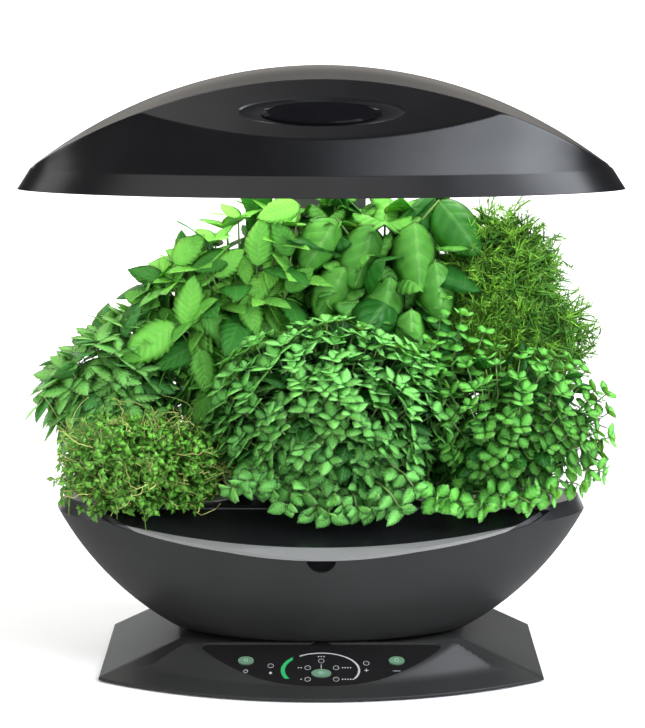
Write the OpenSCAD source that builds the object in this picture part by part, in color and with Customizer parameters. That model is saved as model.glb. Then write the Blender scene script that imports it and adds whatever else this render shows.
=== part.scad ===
// Countertop hydroponic garden: a water bowl on a base, seven pods in a grow deck, and a lamp hood on a
// telescopic mast. Millimetres, +Z up, origin under the middle of the object on the surface it stands on.

/* [Hood] */
// Width over the tips of the lamp hood
hood_w = 400; // [390:1:410]
// Height of the hood's lower edge with the mast down
hood_z = 320.5; // [318:0.5:324]
// Height of the sloped skirt round the hood
skirt_h = 14; // [12:1:16]
// Rise of the hood's crest above the skirt
crest_h = 66; // [60:0.5:68]
// Wall of the hood moulding
hood_wall = 3; // [2.4:0.2:3.4]

/* [Bowl] */
// Radius of the arc that the bowl's ends follow, seen from the front
bowl_arc_r = 199; // [198:0.5:200]
// Height of that arc's centre
bowl_arc_z = 200.9; // [200:0.1:201.4]
// Height of the bowl's widest line
bowl_rim_z = 107.7; // [106:0.1:109]
// Height of the flat grow deck
deck_z = 117; // [116:0.5:118]
// Wall of the bowl and deck mouldings
bowl_wall = 2.6; // [2.2:0.1:3]

/* [Base] */
// Width of the base over its front corners
base_w = 292.8; // [288:0.2:298]
// Height of the base's flat top
base_top = 26; // [25:0.5:27]
// Wall of the base moulding
base_wall = 2.6; // [2.2:0.1:3]

/* [Mast] */
// Width of the fixed mast sleeve
sleeve_w = 84; // [80:1:90]
// Height of the sleeve's top
sleeve_top = 262; // [258:1:266]
// Distance between two latch notches
notch_pitch = 20; // [20:1:20]

/* [Pods] */
// Radius of a pod hole in the deck
pod_r = 17; // [16:0.5:17.5]
// Distance between the outer pods of the back row
pod_span = 224; // [220:1:228]

/* [Hidden] */
$fn = 48;
eps = 0.01;

// Depths are measured from the plane through the tips of hood and bowl, and tip_y moves them to the origin.
base_front = 97;
hood_rear = 131;
tip_y = (base_front - hood_rear) / 2;

// Outline shared by hood, bowl and deck: a pointed oval, fuller than a lens
oval_power = 0.6;
ring_n = 64;

// Hood
hood_half = hood_w / 2;
hood_front = 76;
skirt_in_x = 9;
skirt_in_front = 1;
skirt_in_rear = 6;
skirt_z = hood_z + skirt_h;
skirt_half = hood_half - skirt_in_x;
crease_drop = 7.5;
wall_draft = 0.445;
rear_draft = 0.6;
facet_y = -64.5;
facet_z = skirt_z + 23.2;
facet_run = 1.376;
facet_angle = atan(1 / facet_run);
crest_y = 25;
badge_y = -43;
badge_z = facet_z + (badge_y - facet_y) / facet_run;
badge_half_w = 38.5;
badge_half_h = 11;
dish_half_w = 50.5;
dish_half_h = 16;
dish_deep = 1.8;
vent_n = 9;
vent_pitch = 9;

// Lamps
lamp_y = 12;
lamp_z = 338;
tube_r = 5.5;
tube_gap = 18;
tube_from = 62;
tube_to = 142;
socket_from = 14;
socket_to = 40;
cap_r = 13;
reflector_half = 120;
reflector_top = 352;
reflector_sheet = 0.8;
reflector_screws = [for (x = [-70, 70]) for (y = [-6, 30]) [x, y]];
screw_r = 1.5;

// Bowl and deck
bowl_z = 28.4;
bowl_front_ratio = 0.528;
bowl_rear_ratio = 0.477;
deck_half = 171.5;
crease_y = -40;
lip_y = -82;
lip_z = 98.1;
lip_slope = 0.84;
door_t = 3;
hinge_y = crease_y - 2;
hinge_r = 1.9;
hinge_z = deck_z - hinge_r;
door_half = 138;
stub_r = 1;
stub_len = 4;
gap = 0.3;
run_fit = 0.05;
scoop_r = 9.8;
flange_r = 19.5;
flange_t = 1.2;
basket_h = 50;
basket_t = 1.2;
label_t = 0.4;
sponge_top = deck_z + 0.5;
pods = [[-pod_span / 2, 18], [-40, 38], [40, 38], [pod_span / 2, 18], [-76, -16], [0, -16], [76, -16]];

// Pump, float and plug
pump_y = 44;
pump_w = 44;
pump_d = 34;
pump_h = 30;
floor_z = bowl_z + bowl_wall;
rotor_r = 9;
herb_low = 123;
herb_top = 313;
row_y = 13;
lean_z = 246;
float_x = -84;
float_y = 8;
plug_w = 28;
plug_h = 11;
plug_z = 39;
plug_from = 49;
plug_end = 79;

// Base
base_half = base_w / 2;
foot_h = 1.2;
corner_y = -46;
rear_corner_y = 96;
rear_corner_x = 147;
base_rear = 129;
top_half = 92;
top_corner_y = -30;
top_front = 48;
top_rear_half = 104;
top_rear_y = 80;
top_rear = 108;
arc_steps = 14;
pad_h = 2.2;
plate_t = 2;
plate_z = foot_h;
console_angle = 30.5;
console_y = -67;
console_z = 18.2;
rim_r = 143;
rim_front = 89;
film_r = 115;
film_front = 85.5;
film_back = -51.5;
film_corner = 3;
film_deep = 1.2;
film_t = 0.5;
console_wall = 2.4;
board_z = -8;
board_t = 1.4;
board_w = 103;
board_d = 24;
board_y = -69.5;
switch_h = 1.1;
light_at = [-48.9, -64.8];
select_at = [0, -74.6];
reset_at = [48.9, -64.8];
lenses = [[-32.8, -68], [0, -64.2], [-8.8, -69.5], [9.6, -69.5], [-8.8, -78.4], [9.6, -78.4], [29.2, -66]];
lens_r = 1.1;
feet = [[-112, -34], [112, -34], [-112, 84], [112, 84]];
screws = [[-100, -44], [100, -44], [-120, 30], [120, 30], [-92, 92], [92, 92]];

inlet_x = 62;
inlet_z = 5;
inlet_w = 22;
inlet_h = 13.4;

// Mast
sleeve_y = 107;
sleeve_d = 30;
slide_w = 62;
slide_d = 18;
slide_y = 106.2;
slide_from = 46;
slide_to = 336;
slide_gap = 0.2;
window_from = 222;
window_to = 258;
lever_y = 118.8;
lever_z = 240;
lever_half = 12.4;
pin_r = 1.5;
tooth_tip = 113.8;
tooth_z = 228.5;
notch_h = 8;
notch_deep = 2.4;
notch_n = 7;
bracket_t = 3;
boss_y = 84;
boss_x = 20;

// Circle of given chord half-length and rise: the radius, and the height at x
function arc_r(half, rise) = (half * half + rise * rise) / (2 * rise);
function arc_h(x, half, rise) = rise - arc_r(half, rise) + sqrt(pow(arc_r(half, rise), 2) - x * x);
function plump(a) = pow(abs(sin(a)), 2 * oval_power);
function blend(a, b, t) = a + (b - a) * t;

// A level ring of the pointed oval
function oval_ring(half, front, rear, z) = [for (i = [0:ring_n - 1]) let (a = 360 * i / ring_n)
    [half * cos(a), (a > 180 ? -front : rear) * plump(a), z]];

// Points of a circular arc in plan, from one corner to the other, bulging by rise
function plan_arc(half, from_y, rise) = [for (i = [0:arc_steps]) let (x = -half + 2 * half * i / arc_steps)
    [x, from_y - arc_h(x, half, rise)]];

// Skin over stacked rings; the top closes as a strip between its front and rear halves
module ring_loft(rings) {
    n = len(rings[0]);
    top = (len(rings) - 1) * n;
    half = n / 2;
    sides = [for (k = [0:len(rings) - 2]) for (i = [0:n - 1]) let (a = k * n + i, b = k * n + (i + 1) % n)
        each [[a, a + n, b + n], [a, b + n, b]]];
    cap = [for (i = [1:half - 2]) let (a = top + i, b = top + i + 1, c = top + n - i, d = top + n - i - 1)
        each [[a, c, d], [a, d, b]]];
    ends = [[top, top + n - 1, top + 1], [top + half - 1, top + half + 1, top + half]];
    polyhedron(concat([for (r = rings) each r]), concat([[for (i = [0:n - 1]) i]], sides, cap, ends));
}

module at_tips() {
    translate([0, tip_y, 0]) children();
}

// Bar along X with a profile drawn in Y and Z
module along_x(from, to) {
    translate([from, 0, 0]) rotate([90, 0, 90]) linear_extrude(to - from) children();
}

module rod_x(from, to, r) {
    translate([from, 0, 0]) rotate([0, 90, 0]) cylinder(r = r, h = to - from);
}

// Flat bar with rounded upright edges, centred on the axis
module round_bar(w, d, h, r) {
    linear_extrude(h) {
        square([w - 2 * r, d], center = true);
        square([w, d - 2 * r], center = true);
        for (x = [-1, 1]) for (y = [-1, 1]) translate([x * (w / 2 - r), y * (d / 2 - r)]) circle(r);
    }
}

module block(size, at) {
    translate([at[0] - size[0] / 2, at[1] - size[1] / 2, at[2]]) cube(size);
}

// ---------------------------------------------------------------- hood

function crest_at(x) = skirt_z + arc_h(min(abs(x), skirt_half), skirt_half, crest_h);
function crease_at(x) = skirt_z + arc_h(min(abs(x), skirt_half), skirt_half, crest_h - crease_drop);
function front_y(a, z) = -(hood_front - skirt_in_front - wall_draft * (z - skirt_z)) * plump(a);
function rear_y(a, z) = (hood_rear - skirt_in_rear - rear_draft * (z - skirt_z)) * plump(a);
function facet_low(a) = let (q = plump(a), d = hood_front - skirt_in_front + wall_draft * skirt_z)
    (facet_z + (-facet_y - d * q) / facet_run) / (1 - wall_draft * q / facet_run);

// One point of the hood's outside: level 0 and 1 are the skirt, 4 the crease, 6 the crest
function hood_point(level, a) =
    level == 0 ? [hood_half * cos(a), (a > 180 ? -hood_front : hood_rear) * plump(a), hood_z] :
    level == 1 ? [skirt_half * cos(a), (a > 180 ? front_y(a, skirt_z) : rear_y(a, skirt_z)), skirt_z] :
    let (
        x = (skirt_half - 0.6 * level) * cos(a),
        back = a < 180 && a > 0,
        top = crest_at(x),
        z_crease = back ? blend(skirt_z, top, 0.8) : crease_at(x),
        z_facet = back ? blend(skirt_z, z_crease, 0.6) : min(facet_low(a), z_crease - 0.8),
        y_crease = back ? rear_y(a, z_crease) :
            max(front_y(a, z_crease), facet_y + (z_crease - facet_z) * facet_run),
        y_crest = (crest_y + (back ? 10 : -6)) * plump(a),
        z = level == 2 ? blend(skirt_z, z_facet, 0.5) : level == 3 ? z_facet : level == 4 ? z_crease :
            level == 5 ? blend(z_crease, top, 0.78) : top,
        y = level < 4 ? (back ? rear_y(a, z) : front_y(a, z)) : level == 4 ? y_crease :
            level == 5 ? blend(y_crease, y_crest, 0.5) : y_crest
    )
    [x, y, z];

function inset(p, level, w) = [p[0] * (1 - 1.4 * w / skirt_half), p[1] - sign(p[1]) * min(1.2 * w, 0.8 * abs(p[1])),
    p[2] - (level == 0 ? 1 : level == 1 ? 0.3 * w : level == 2 ? 0.6 * w : 1.1 * w)];

module hood_form(w = 0) {
    ring_loft([for (level = [0:6]) [for (i = [0:ring_n - 1]) let (p = hood_point(level, 360 * i / ring_n))
        w == 0 ? p : inset(p, level, w)]]);
}

module hood_bosses() {
    for (x = [-boss_x, boss_x]) translate([x, boss_y, slide_to + bracket_t]) cylinder(r = 5, h = 60);
    for (p = reflector_screws) translate([p[0], p[1], reflector_top + reflector_sheet]) cylinder(r = 4, h = 60);
}

module screw(length) {
    translate([0, 0, -2]) cylinder(r = 3, h = 2);
    cylinder(r = screw_r - run_fit, h = length);
}

// Places children on the flat facet, with local Z along its normal
module on_facet() {
    translate([0, badge_y, badge_z]) rotate([facet_angle, 0, 0]) children();
}

module oval(half_w, half_h) {
    scale([half_w / half_h, 1]) circle(r = half_h);
}

module hood_shell() {
    color("#1c1d1f") at_tips() difference() {
        union() {
            difference() {
                hood_form();
                hood_form(hood_wall);
            }
            intersection() {
                hood_form(0.5);
                hood_bosses();
            }
        }
        on_facet() translate([0, 0, -dish_deep]) linear_extrude(height = dish_deep + eps,
            scale = [dish_half_w / (badge_half_w + 0.3), dish_half_h / (badge_half_h + 0.3)])
            oval(badge_half_w + 0.3, badge_half_h + 0.3);
        for (i = [0:vent_n - 1]) block([4, 26, 120], [(i - (vent_n - 1) / 2) * vent_pitch, 61, 300]);
        for (x = [-boss_x, boss_x]) translate([x, boss_y, slide_to]) cylinder(r = screw_r, h = 16);
        for (p = reflector_screws) translate([p[0], p[1], reflector_top]) cylinder(r = screw_r, h = 10);
    }
}

module hood_badge() {
    color("#0b0b0c") at_tips() on_facet() translate([0, 0, -dish_deep]) {
        linear_extrude(1) oval(badge_half_w, badge_half_h);
        translate([0, 0, 1]) linear_extrude(height = 0.8, scale = 0.9) oval(badge_half_w, badge_half_h);
    }
}

module hood_screws() {
    color("silver") at_tips() {
        for (x = [-boss_x, boss_x]) translate([x, boss_y, slide_to]) screw(14);
        for (x = [-24, 24]) translate([x, slide_y, slide_to + bracket_t]) rotate([180, 0, 0]) screw(11);
        for (p = reflector_screws) translate([p[0], p[1], reflector_top]) screw(8);
    }
}

module hood_bracket() {
    color("silver") at_tips() difference() {
        block([slide_w, 42, bracket_t], [0, 94, slide_to]);
        for (x = [-boss_x, boss_x]) translate([x, boss_y, slide_to - 1]) cylinder(r = screw_r, h = 10);
        for (x = [-24, 24]) translate([x, slide_y, slide_to - 1]) cylinder(r = screw_r, h = 10);
    }
}

// Folded sheet over the lamps
module reflector() {
    top = reflector_top;
    t = reflector_sheet;
    color("white") at_tips() intersection() {
        along_x(-reflector_half, reflector_half) polygon([[-42, 326], [-26, top], [50, top], [66, 326],
            [66 + t, 326], [50 + t / 2, top + t], [-26 - t / 2, top + t], [-42 - t, 326]]);
        difference() {
            block([2 * reflector_half, 200, 60], [0, 0, 310]);
            for (p = reflector_screws) translate([p[0], p[1], 300]) cylinder(r = screw_r, h = 80);
        }
    }
}

module socket_block() {
    color("#e4e2da") at_tips() block([2 * socket_from, 46, 26], [0, lamp_y, reflector_top - 26]);
}

module both_lamps() {
    for (side = [0, 180]) translate([0, lamp_y, lamp_z]) rotate([0, 0, side]) children();
}

module lamp_sockets() {
    color("#e9e6dc") at_tips() both_lamps() difference() {
        rod_x(socket_from, socket_to, 13.8);
        rod_x(socket_from + 2, socket_to + 1, cap_r);
    }
}

module lamp_caps() {
    color("silver") at_tips() both_lamps() difference() {
        rod_x(socket_from + 4, socket_to + 1, cap_r - 0.2);
        for (i = [0:4]) translate([socket_from + 8 + 4 * i, 0, 0]) rotate([0, 90, 0])
            rotate_extrude() translate([cap_r + 0.6, 0]) circle(r = 1.3, $fn = 16);
    }
}

module lamp_bases() {
    color("#f2f0ea") at_tips() both_lamps() {
        rod_x(socket_to + 1, socket_to + 12, 13);
        translate([socket_to + 12, 0, 0]) rotate([90, 0, 90]) round_bar(66, 24, tube_from - socket_to - 12, 6);
    }
}

// Two U-shaped tubes side by side
module lamp_tubes() {
    color("white") at_tips() both_lamps() for (u = [-1, 1]) translate([0, u * tube_gap, 0]) {
        for (y = [-tube_gap / 2, tube_gap / 2]) translate([0, y, 0]) rod_x(tube_from, tube_to, tube_r);
        translate([tube_to, 0, 0]) rotate([0, 0, -90]) rotate_extrude(angle = 180)
            translate([tube_gap / 2, 0]) circle(tube_r);
    }
}

// ---------------------------------------------------------------- mast

module mast_sleeve() {
    color("#26282a") at_tips() difference() {
        translate([0, sleeve_y, plate_z + plate_t]) round_bar(sleeve_w, sleeve_d, sleeve_top - plate_z - plate_t, 8);
        block([slide_w + 2 * slide_gap, slide_d + 2 * slide_gap, sleeve_top], [0, slide_y, 40]);
        block([2 * lever_half + 2, sleeve_d, window_to - window_from], [0, lever_y + 8, window_from]);
        translate([0, lever_y, lever_z]) rod_x(-20, 20, pin_r);
    }
}

module lever_pin() {
    color("silver") at_tips() translate([0, lever_y, lever_z]) rod_x(-18, 18, pin_r);
}

module lever_spring() {
    color("silver") at_tips() translate([0, lever_y, lever_z]) difference() {
        rod_x(-2.6, 2.6, 2.5);
        rod_x(-3, 3, pin_r + 0.1);
    }
}

// Rocker with a tooth below the pin and a ribbed thumb pad above it
module release_lever() {
    color("#3a3c3e") at_tips() difference() {
        union() {
            along_x(-lever_half, lever_half) polygon([[118.2, 256], [lever_y, lever_z + 2.6], [116.2, lever_z],
                [116, 234], [116, 225], [120.6, 225], [121.6, lever_z], [122.4, 256]]);
            translate([0, lever_y, lever_z]) rod_x(-lever_half, lever_half, 2.8);
            along_x(-8, 8) polygon([[tooth_tip, tooth_z - 2], [tooth_tip, tooth_z + 1.6], [116.5, tooth_z + 2.6],
                [116.5, tooth_z - 2.6]]);
            for (z = [247:2.4:254]) translate([0, 121.9, z]) rod_x(-9, 9, 0.8);
        }
        translate([0, lever_y, lever_z]) rod_x(-20, 20, pin_r + run_fit);
        translate([0, lever_y, lever_z]) rod_x(-3, 3, 6);
    }
}

// Hollow bar with seven latch notches in its rear face
module mast_slide() {
    color("#8d9093") at_tips() difference() {
        translate([0, slide_y, slide_from]) round_bar(slide_w, slide_d, slide_to - slide_from, 2);
        block([slide_w - 12, slide_d - 9, slide_to - slide_from - 14], [0, slide_y - 1, slide_from - 1]);
        for (x = [-24, 24]) translate([x, slide_y, slide_to - 12]) cylinder(r = screw_r, h = 20);
        for (i = [0:notch_n - 1]) block([18, 2 * notch_deep, notch_h],
            [0, slide_y + slide_d / 2, tooth_z - notch_h / 2 - i * notch_pitch]);
    }
}

// ---------------------------------------------------------------- bowl and deck

function bowl_x(z, w = 0) = sqrt(pow(bowl_arc_r - w, 2) - pow(bowl_arc_z - z, 2));
bowl_levels = [0, 0.1, 0.24, 0.42, 0.62, 0.82, 1];

module bowl_form(w = 0, floor = bowl_z, top = bowl_rim_z) {
    ring_loft([for (t = bowl_levels) let (z = blend(floor, top, t), x = bowl_x(z, w))
        oval_ring(x, bowl_front_ratio * bowl_x(z) - w, bowl_rear_ratio * bowl_x(z) - w, z)]);
}

module deck_form(w = 0, floor = bowl_rim_z, top = deck_z) {
    half = bowl_x(bowl_rim_z);
    ring_loft([for (t = [0, 1]) let (x = blend(half, deck_half, t))
        oval_ring(x - 1.3 * w, bowl_front_ratio * x - w, bowl_rear_ratio * x - w, blend(floor, top, t))]);
}

// Side profile of everything above the fill door, lowered by drop
module above_door(drop, from = crease_y) {
    along_x(-200, 200) polygon([[from, 200], [from, deck_z - drop], [lip_y, lip_z - drop],
        [lip_y - 20, lip_z - drop - 20 * lip_slope], [lip_y - 20, 200]]);
}

module bowl() {
    color("#3b3d3c") at_tips() difference() {
        union() {
            difference() {
                bowl_form();
                bowl_form(bowl_wall, floor_z, bowl_rim_z + eps);
            }
            intersection() {
                bowl_form();
                translate([0, -87, 92]) rotate([-90, 0, 0]) cylinder(r = scoop_r + 3, h = 10);
            }
        }
        above_door(door_t + gap);
        translate([0, -110, 92]) rotate([-90, 0, 0]) cylinder(r = scoop_r, h = 28.5);
        block([plug_w, 40, plug_h], [0, 65, plug_z - plug_h / 2]);
    }
}

module hinge_ears() {
    for (side = [-1, 1]) translate([side * (door_half + gap + 2.2), 0, 0]) {
        translate([0, hinge_y, hinge_z]) rod_x(-2.2, 2.2, hinge_r);
        block([4.4, 5, 2 * hinge_r], [0, hinge_y + 2.5, hinge_z - hinge_r]);
    }
}

module grow_deck() {
    color("#1b1c20") at_tips() difference() {
        union() {
            difference() {
                deck_form();
                deck_form(bowl_wall, bowl_rim_z - eps, deck_z - bowl_wall);
                above_door(door_t + gap, crease_y + gap);
            }
            intersection() {
                deck_form();
                hinge_ears();
            }
            block([2 * door_half, 2, 12], [0, crease_y + gap + 1, deck_z - 13]);
            block([180, 2, 6], [0, 11, deck_z - bowl_wall - 6]);
            translate([0, pump_y, deck_z - bowl_wall - 10]) cylinder(r = 6, h = 10.5);
        }
        for (p = pods) translate([p[0], p[1], 0]) cylinder(r = pod_r, h = 200);
        translate([0, pump_y, deck_z - bowl_wall - 11]) cylinder(r = 4, h = 9);
        translate([0, hinge_y, hinge_z]) rod_x(-door_half - 5, door_half + 5, stub_r + run_fit);
    }
}

// Sloping door with a rolled hinge edge and a steeper lip along its front
module fill_door() {
    color("#17181c") at_tips() {
        difference() {
            intersection() {
                union() {
                    bowl_form();
                    translate([0, 0, -eps]) deck_form();
                }
                along_x(-200, 200) polygon([[hinge_y, deck_z - 0.9], [lip_y, lip_z],
                    [lip_y - 20, lip_z - 20 * lip_slope], [lip_y - 20, lip_z - 20 * lip_slope - door_t],
                    [lip_y, lip_z - door_t], [hinge_y, hinge_z - hinge_r + 0.3]]);
            }
            for (side = [-1, 1]) block([20, 8, 20], [side * (door_half + 10), hinge_y, 105]);
        }
        translate([0, hinge_y, hinge_z]) {
            rod_x(-door_half, door_half, hinge_r);
            rod_x(-door_half - stub_len, door_half + stub_len, stub_r);
        }
    }
}

module at_pods() {
    at_tips() for (p = pods) translate([p[0], p[1], 0]) children();
}

module grow_baskets() {
    color("#d8d8d4") at_pods() difference() {
        rotate_extrude() polygon([[0, deck_z - basket_h], [12, deck_z - basket_h], [pod_r - 0.6, deck_z - 8],
            [pod_r - 0.3, deck_z], [flange_r, deck_z], [flange_r, deck_z + flange_t], [pod_r - 1.8, deck_z + flange_t],
            [pod_r - 1.9, deck_z - 8], [12 - basket_t, deck_z - basket_h + basket_t],
            [0, deck_z - basket_h + basket_t]]);
        for (turn = [0, 90]) rotate(turn) block([5, 60, 30], [0, 0, deck_z - basket_h + 6]);
    }
}

module rooting_sponges() {
    color("#7a5a3c") at_pods() translate([0, 0, deck_z - basket_h + basket_t + 1])
        cylinder(r1 = 10.4, r2 = 14.4, h = sponge_top - deck_z + basket_h - basket_t - 1);
}

module pod_labels() {
    color("#e9e7df") at_pods() translate([0, 0, deck_z + flange_t]) difference() {
        cylinder(r = 18.5, h = label_t);
        translate([0, 0, -1]) cylinder(r = 5, h = 3);
    }
}

// ---------------------------------------------------------------- pump, plug and float

module at_pump() {
    at_tips() translate([0, pump_y - 22, floor_z]) children();
}

module pump_body() {
    color("#202225") at_pump() difference() {
        round_bar(pump_w, pump_d, pump_h, 5);
        translate([0, 0, -1]) cylinder(r = rotor_r + 1.5, h = 13);
        translate([0, 0, 12 - eps]) cylinder(r = 1.5 + run_fit, h = 6);
        block([pump_w - 4, pump_d - 4, 4], [0, 0, -1]);
        translate([0, 0, 8]) rotate([-90, 0, 0]) cylinder(r = 3, h = pump_d);
    }
}

module pump_impeller() {
    color("#c9ced1") at_pump() {
        translate([0, 0, 9]) cylinder(r = rotor_r, h = 2);
        translate([0, 0, 11]) cylinder(r = 1.5, h = 6);
        difference() {
            for (i = [0:5]) rotate(60 * i) block([1.2, rotor_r - 1, 4], [0, (rotor_r + 1) / 2, 5]);
            translate([0, 0, 4]) cylinder(r = 2, h = 6);
        }
        translate([0, 0, 4.4]) cylinder(r = 2.5, h = 4.6);
    }
}

module pump_cover() {
    color("#2c2f33") at_pump() difference() {
        block([pump_w - 4.4, pump_d - 4.4, 2.4], [0, 0, 0.4]);
        for (i = [-6:6]) block([1.6, 14, 6], [i * 2.8, 0, -1]);
    }
}

module pump_filter() {
    color("#3c3f42") at_pump() translate([0, -pump_d / 2 - 4, 0]) block([pump_w, 7.6, 22], [0, 0, 0]);
}

module riser_tube() {
    color("#b9c4c6") at_tips() difference() {
        union() {
            translate([0, pump_y, floor_z + 8]) cylinder(r = 3.9, h = deck_z - bowl_wall - 2.2 - floor_z - 8);
            translate([0, pump_y - 5, floor_z + 12]) rotate([-90, 0, 0]) cylinder(r = 3.9, h = 5);
        }
        translate([0, pump_y, floor_z + 7]) cylinder(r = 2.6, h = 100);
    }
}

module bowl_plug() {
    color("#2a2b2d") at_tips() block([plug_w, plug_end - plug_from, plug_h],
        [0, (plug_end + plug_from) / 2, plug_z - plug_h / 2]);
}

module float_guide() {
    color("#c9ced1") at_tips() translate([float_x, float_y, floor_z]) {
        cylinder(r = 7, h = 2);
        cylinder(r = 2.5, h = 46);
        translate([0, 0, 44]) cylinder(r = 5, h = 2);
    }
}

module water_float() {
    color("#e07a2c") at_tips() translate([float_x, float_y, floor_z + 2]) difference() {
        cylinder(r = 10, h = 8);
        translate([0, 0, -1]) cylinder(r = 2.5 + run_fit, h = 12);
    }
}

// ---------------------------------------------------------------- base

function mirror_y(points) = [for (i = [len(points) - 1:-1:0]) [points[i][0], -points[i][1]]];

module base_outline(w) {
    polygon(concat(plan_arc(base_half - w, corner_y + w, base_front + corner_y - 0),
        mirror_y(plan_arc(rear_corner_x - w, -rear_corner_y + w, base_rear - rear_corner_y))));
}

module top_outline(w) {
    polygon(concat(plan_arc(top_half - w, top_corner_y + w, top_front + top_corner_y),
        mirror_y(plan_arc(top_rear_half - w, -top_rear_y + w, top_rear - top_rear_y))));
}

module base_form(w, low, high) {
    hull() {
        translate([0, 0, low]) linear_extrude(1.5) base_outline(w);
        translate([0, 0, high - 0.5]) linear_extrude(0.5) top_outline(w);
    }
}

function console_h(y) = console_z + (y - console_y) * tan(console_angle);

// Places children on the console, with local Z along its normal
module on_console(at) {
    translate([at[0], at[1], console_h(at[1])]) rotate([console_angle, 0, 0]) children();
}

// Everything under the console's plane, lowered by drop along its normal
module under_console(drop) {
    translate([0, console_y, console_z]) rotate([console_angle, 0, 0]) translate([-150, -60, -60 - drop])
        cube([300, 160, 60]);
}

// Plan of the console: straight at the back, a smiling arc in front
module smile(r, front, back_y) {
    intersection() {
        translate([0, r - front]) circle(r, $fn = 96);
        translate([-150, -front - 1]) square([300, front + 1 + back_y]);
    }
}

// Space between the two side flanks, carried on above the base
module flanks() {
    rotate([90, 0, 0]) linear_extrude(300, center = true)
        polygon([[-base_half, foot_h], [base_half, foot_h], [top_half - 6, base_top + 3], [6 - top_half, base_top + 3]]);
}

module console_form(drop, r, front, back_y) {
    intersection() {
        translate([0, 0, plate_z + plate_t]) linear_extrude(40) smile(r, front, back_y);
        under_console(drop);
    }
}

// Film with rounded corners and a shallow tab at the middle of its back edge
module film_form(drop, w) {
    intersection() {
        translate([0, 0, foot_h]) linear_extrude(40) offset(r = film_corner - w) offset(delta = -film_corner) {
            smile(film_r, film_front, film_back);
            translate([0, film_back - 9.4]) circle(r = 12);
        }
        under_console(drop);
    }
}

module button_plan(grow, wide) {
    scale([(wide + 3.5 + grow) / (3.5 + grow), 1]) circle(3.5 + grow);
}

module at_buttons() {
    on_console(light_at) children(0);
    on_console(reset_at) children(0);
    on_console(select_at) children(1);
}

module base_housing() {
    color("#23262a") at_tips() difference() {
        union() {
            difference() {
                base_form(0, foot_h, base_top);
                base_form(base_wall, foot_h - 1, base_top - base_wall);
            }
            intersection() {
                console_form(0, rim_r, rim_front, -50);
                flanks();
            }
            translate([0, 0, base_top - eps]) linear_extrude(pad_h)
                polygon([for (p = oval_ring(90, 42, 40, 0)) [p[0], p[1]]]);
            intersection() {
                base_form(0.5, foot_h, base_top);
                for (p = screws) translate([p[0], p[1], plate_z + plate_t]) cylinder(r = 4, h = 40);
            }
        }
        console_form(console_wall + film_deep, rim_r - 3, rim_front - 3, -50);
        difference() {
            film_form(-2, 0);
            under_console(film_deep);
        }
        at_buttons() {
            translate([0, 0, -20]) linear_extrude(30) button_plan(0.25, 1.6);
            translate([0, 0, -20]) linear_extrude(30) button_plan(0.25, 2.9);
        }
        for (p = lenses) on_console(p) translate([0, 0, -20]) cylinder(r = lens_r, h = 30);
        for (p = screws) translate([p[0], p[1], 0]) cylinder(r = screw_r, h = 11);
        translate([0, sleeve_y, 0]) round_bar(sleeve_w + 0.4, sleeve_d + 0.4, 60, 8.2);
        block([inlet_w + 0.4, 40, inlet_h + 0.4], [inlet_x, 115, inlet_z - 0.2]);
    }
}

module base_plate() {
    color("#1d1f21") at_tips() difference() {
        translate([0, 0, plate_z]) linear_extrude(plate_t) base_outline(base_wall + 5);
        for (p = feet) translate([p[0], p[1], 0]) cylinder(r = 7, h = 2.2);
        for (p = screws) translate([p[0], p[1], 0]) cylinder(r = 1.8, h = 10);
        for (p = screws) translate([p[0], p[1], 0]) cylinder(r = 3.2, h = plate_z + 1);
        for (i = [-5:5]) block([3, 24, 10], [i * 8, 30, 0]);
    }
}

module rubber_feet() {
    color("#111111") at_tips() for (p = feet) translate([p[0], p[1], 0]) cylinder(r = 7, h = 2.2);
}

module base_screws() {
    color("silver") at_tips() for (p = screws) translate([p[0], p[1], plate_z]) {
        cylinder(r = 3, h = 1);
        translate([0, 0, 1]) cylinder(r = 1.45, h = 8);
    }
}

// Printed film in the recess of the console
module control_overlay() {
    color("#2a2425") at_tips() difference() {
        film_form(film_deep - film_t, 0.2);
        under_console(film_deep);
        at_buttons() {
            translate([0, 0, -20]) linear_extrude(30) button_plan(0.25, 1.6);
            translate([0, 0, -20]) linear_extrude(30) button_plan(0.25, 2.9);
        }
        for (p = lenses) on_console(p) translate([0, 0, -20]) cylinder(r = lens_r, h = 30);
    }
}

// Push button: oval cap, and a flange under the console that keeps it in
module button(wide) {
    color("#7fd0a3") {
        translate([0, 0, -4.6]) linear_extrude(4.8) button_plan(0, wide);
        translate([0, 0, -4.6]) linear_extrude(0.9) button_plan(1, wide);
    }
}

module button_light() {
    at_tips() on_console(light_at) button(1.6);
}

module button_select() {
    at_tips() on_console(select_at) button(2.9);
}

module button_reset() {
    at_tips() on_console(reset_at) button(1.6);
}

module indicator_lenses() {
    color("#e9f4ec") at_tips() for (p = lenses) on_console(p) translate([0, 0, board_z + board_t])
        cylinder(r = lens_r - 0.02, h = -board_z - board_t - 0.5);
}

module control_board() {
    color("#1f5a34") at_tips() on_console([0, board_y]) block([board_w, board_d, board_t], [0, 0, board_z]);
}

module push_switches() {
    color("#c9c9c4") at_tips() for (p = [light_at, select_at, reset_at]) on_console(p)
        block([5, 5, switch_h], [0, 0, board_z + board_t]);
}

module lamp_ballast() {
    color("#3a3c40") at_tips() block([78, 44, 17], [-52, 24, plate_z + plate_t]);
}

module transformer() {
    color("#8a6a3a") at_tips() block([42, 36, 18], [40, 24, plate_z + plate_t]);
}

module power_inlet() {
    color("#18191b") at_tips() difference() {
        block([inlet_w, 14, inlet_h], [inlet_x, 101, inlet_z]);
        block([inlet_w - 6, 14, inlet_h - 5], [inlet_x, 105, inlet_z + 2.5]);
        for (x = [-4, 4]) translate([inlet_x + x, 99, inlet_z + inlet_h / 2]) rotate([90, 0, 0]) cylinder(r = 1, h = 4);
    }
}

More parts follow.
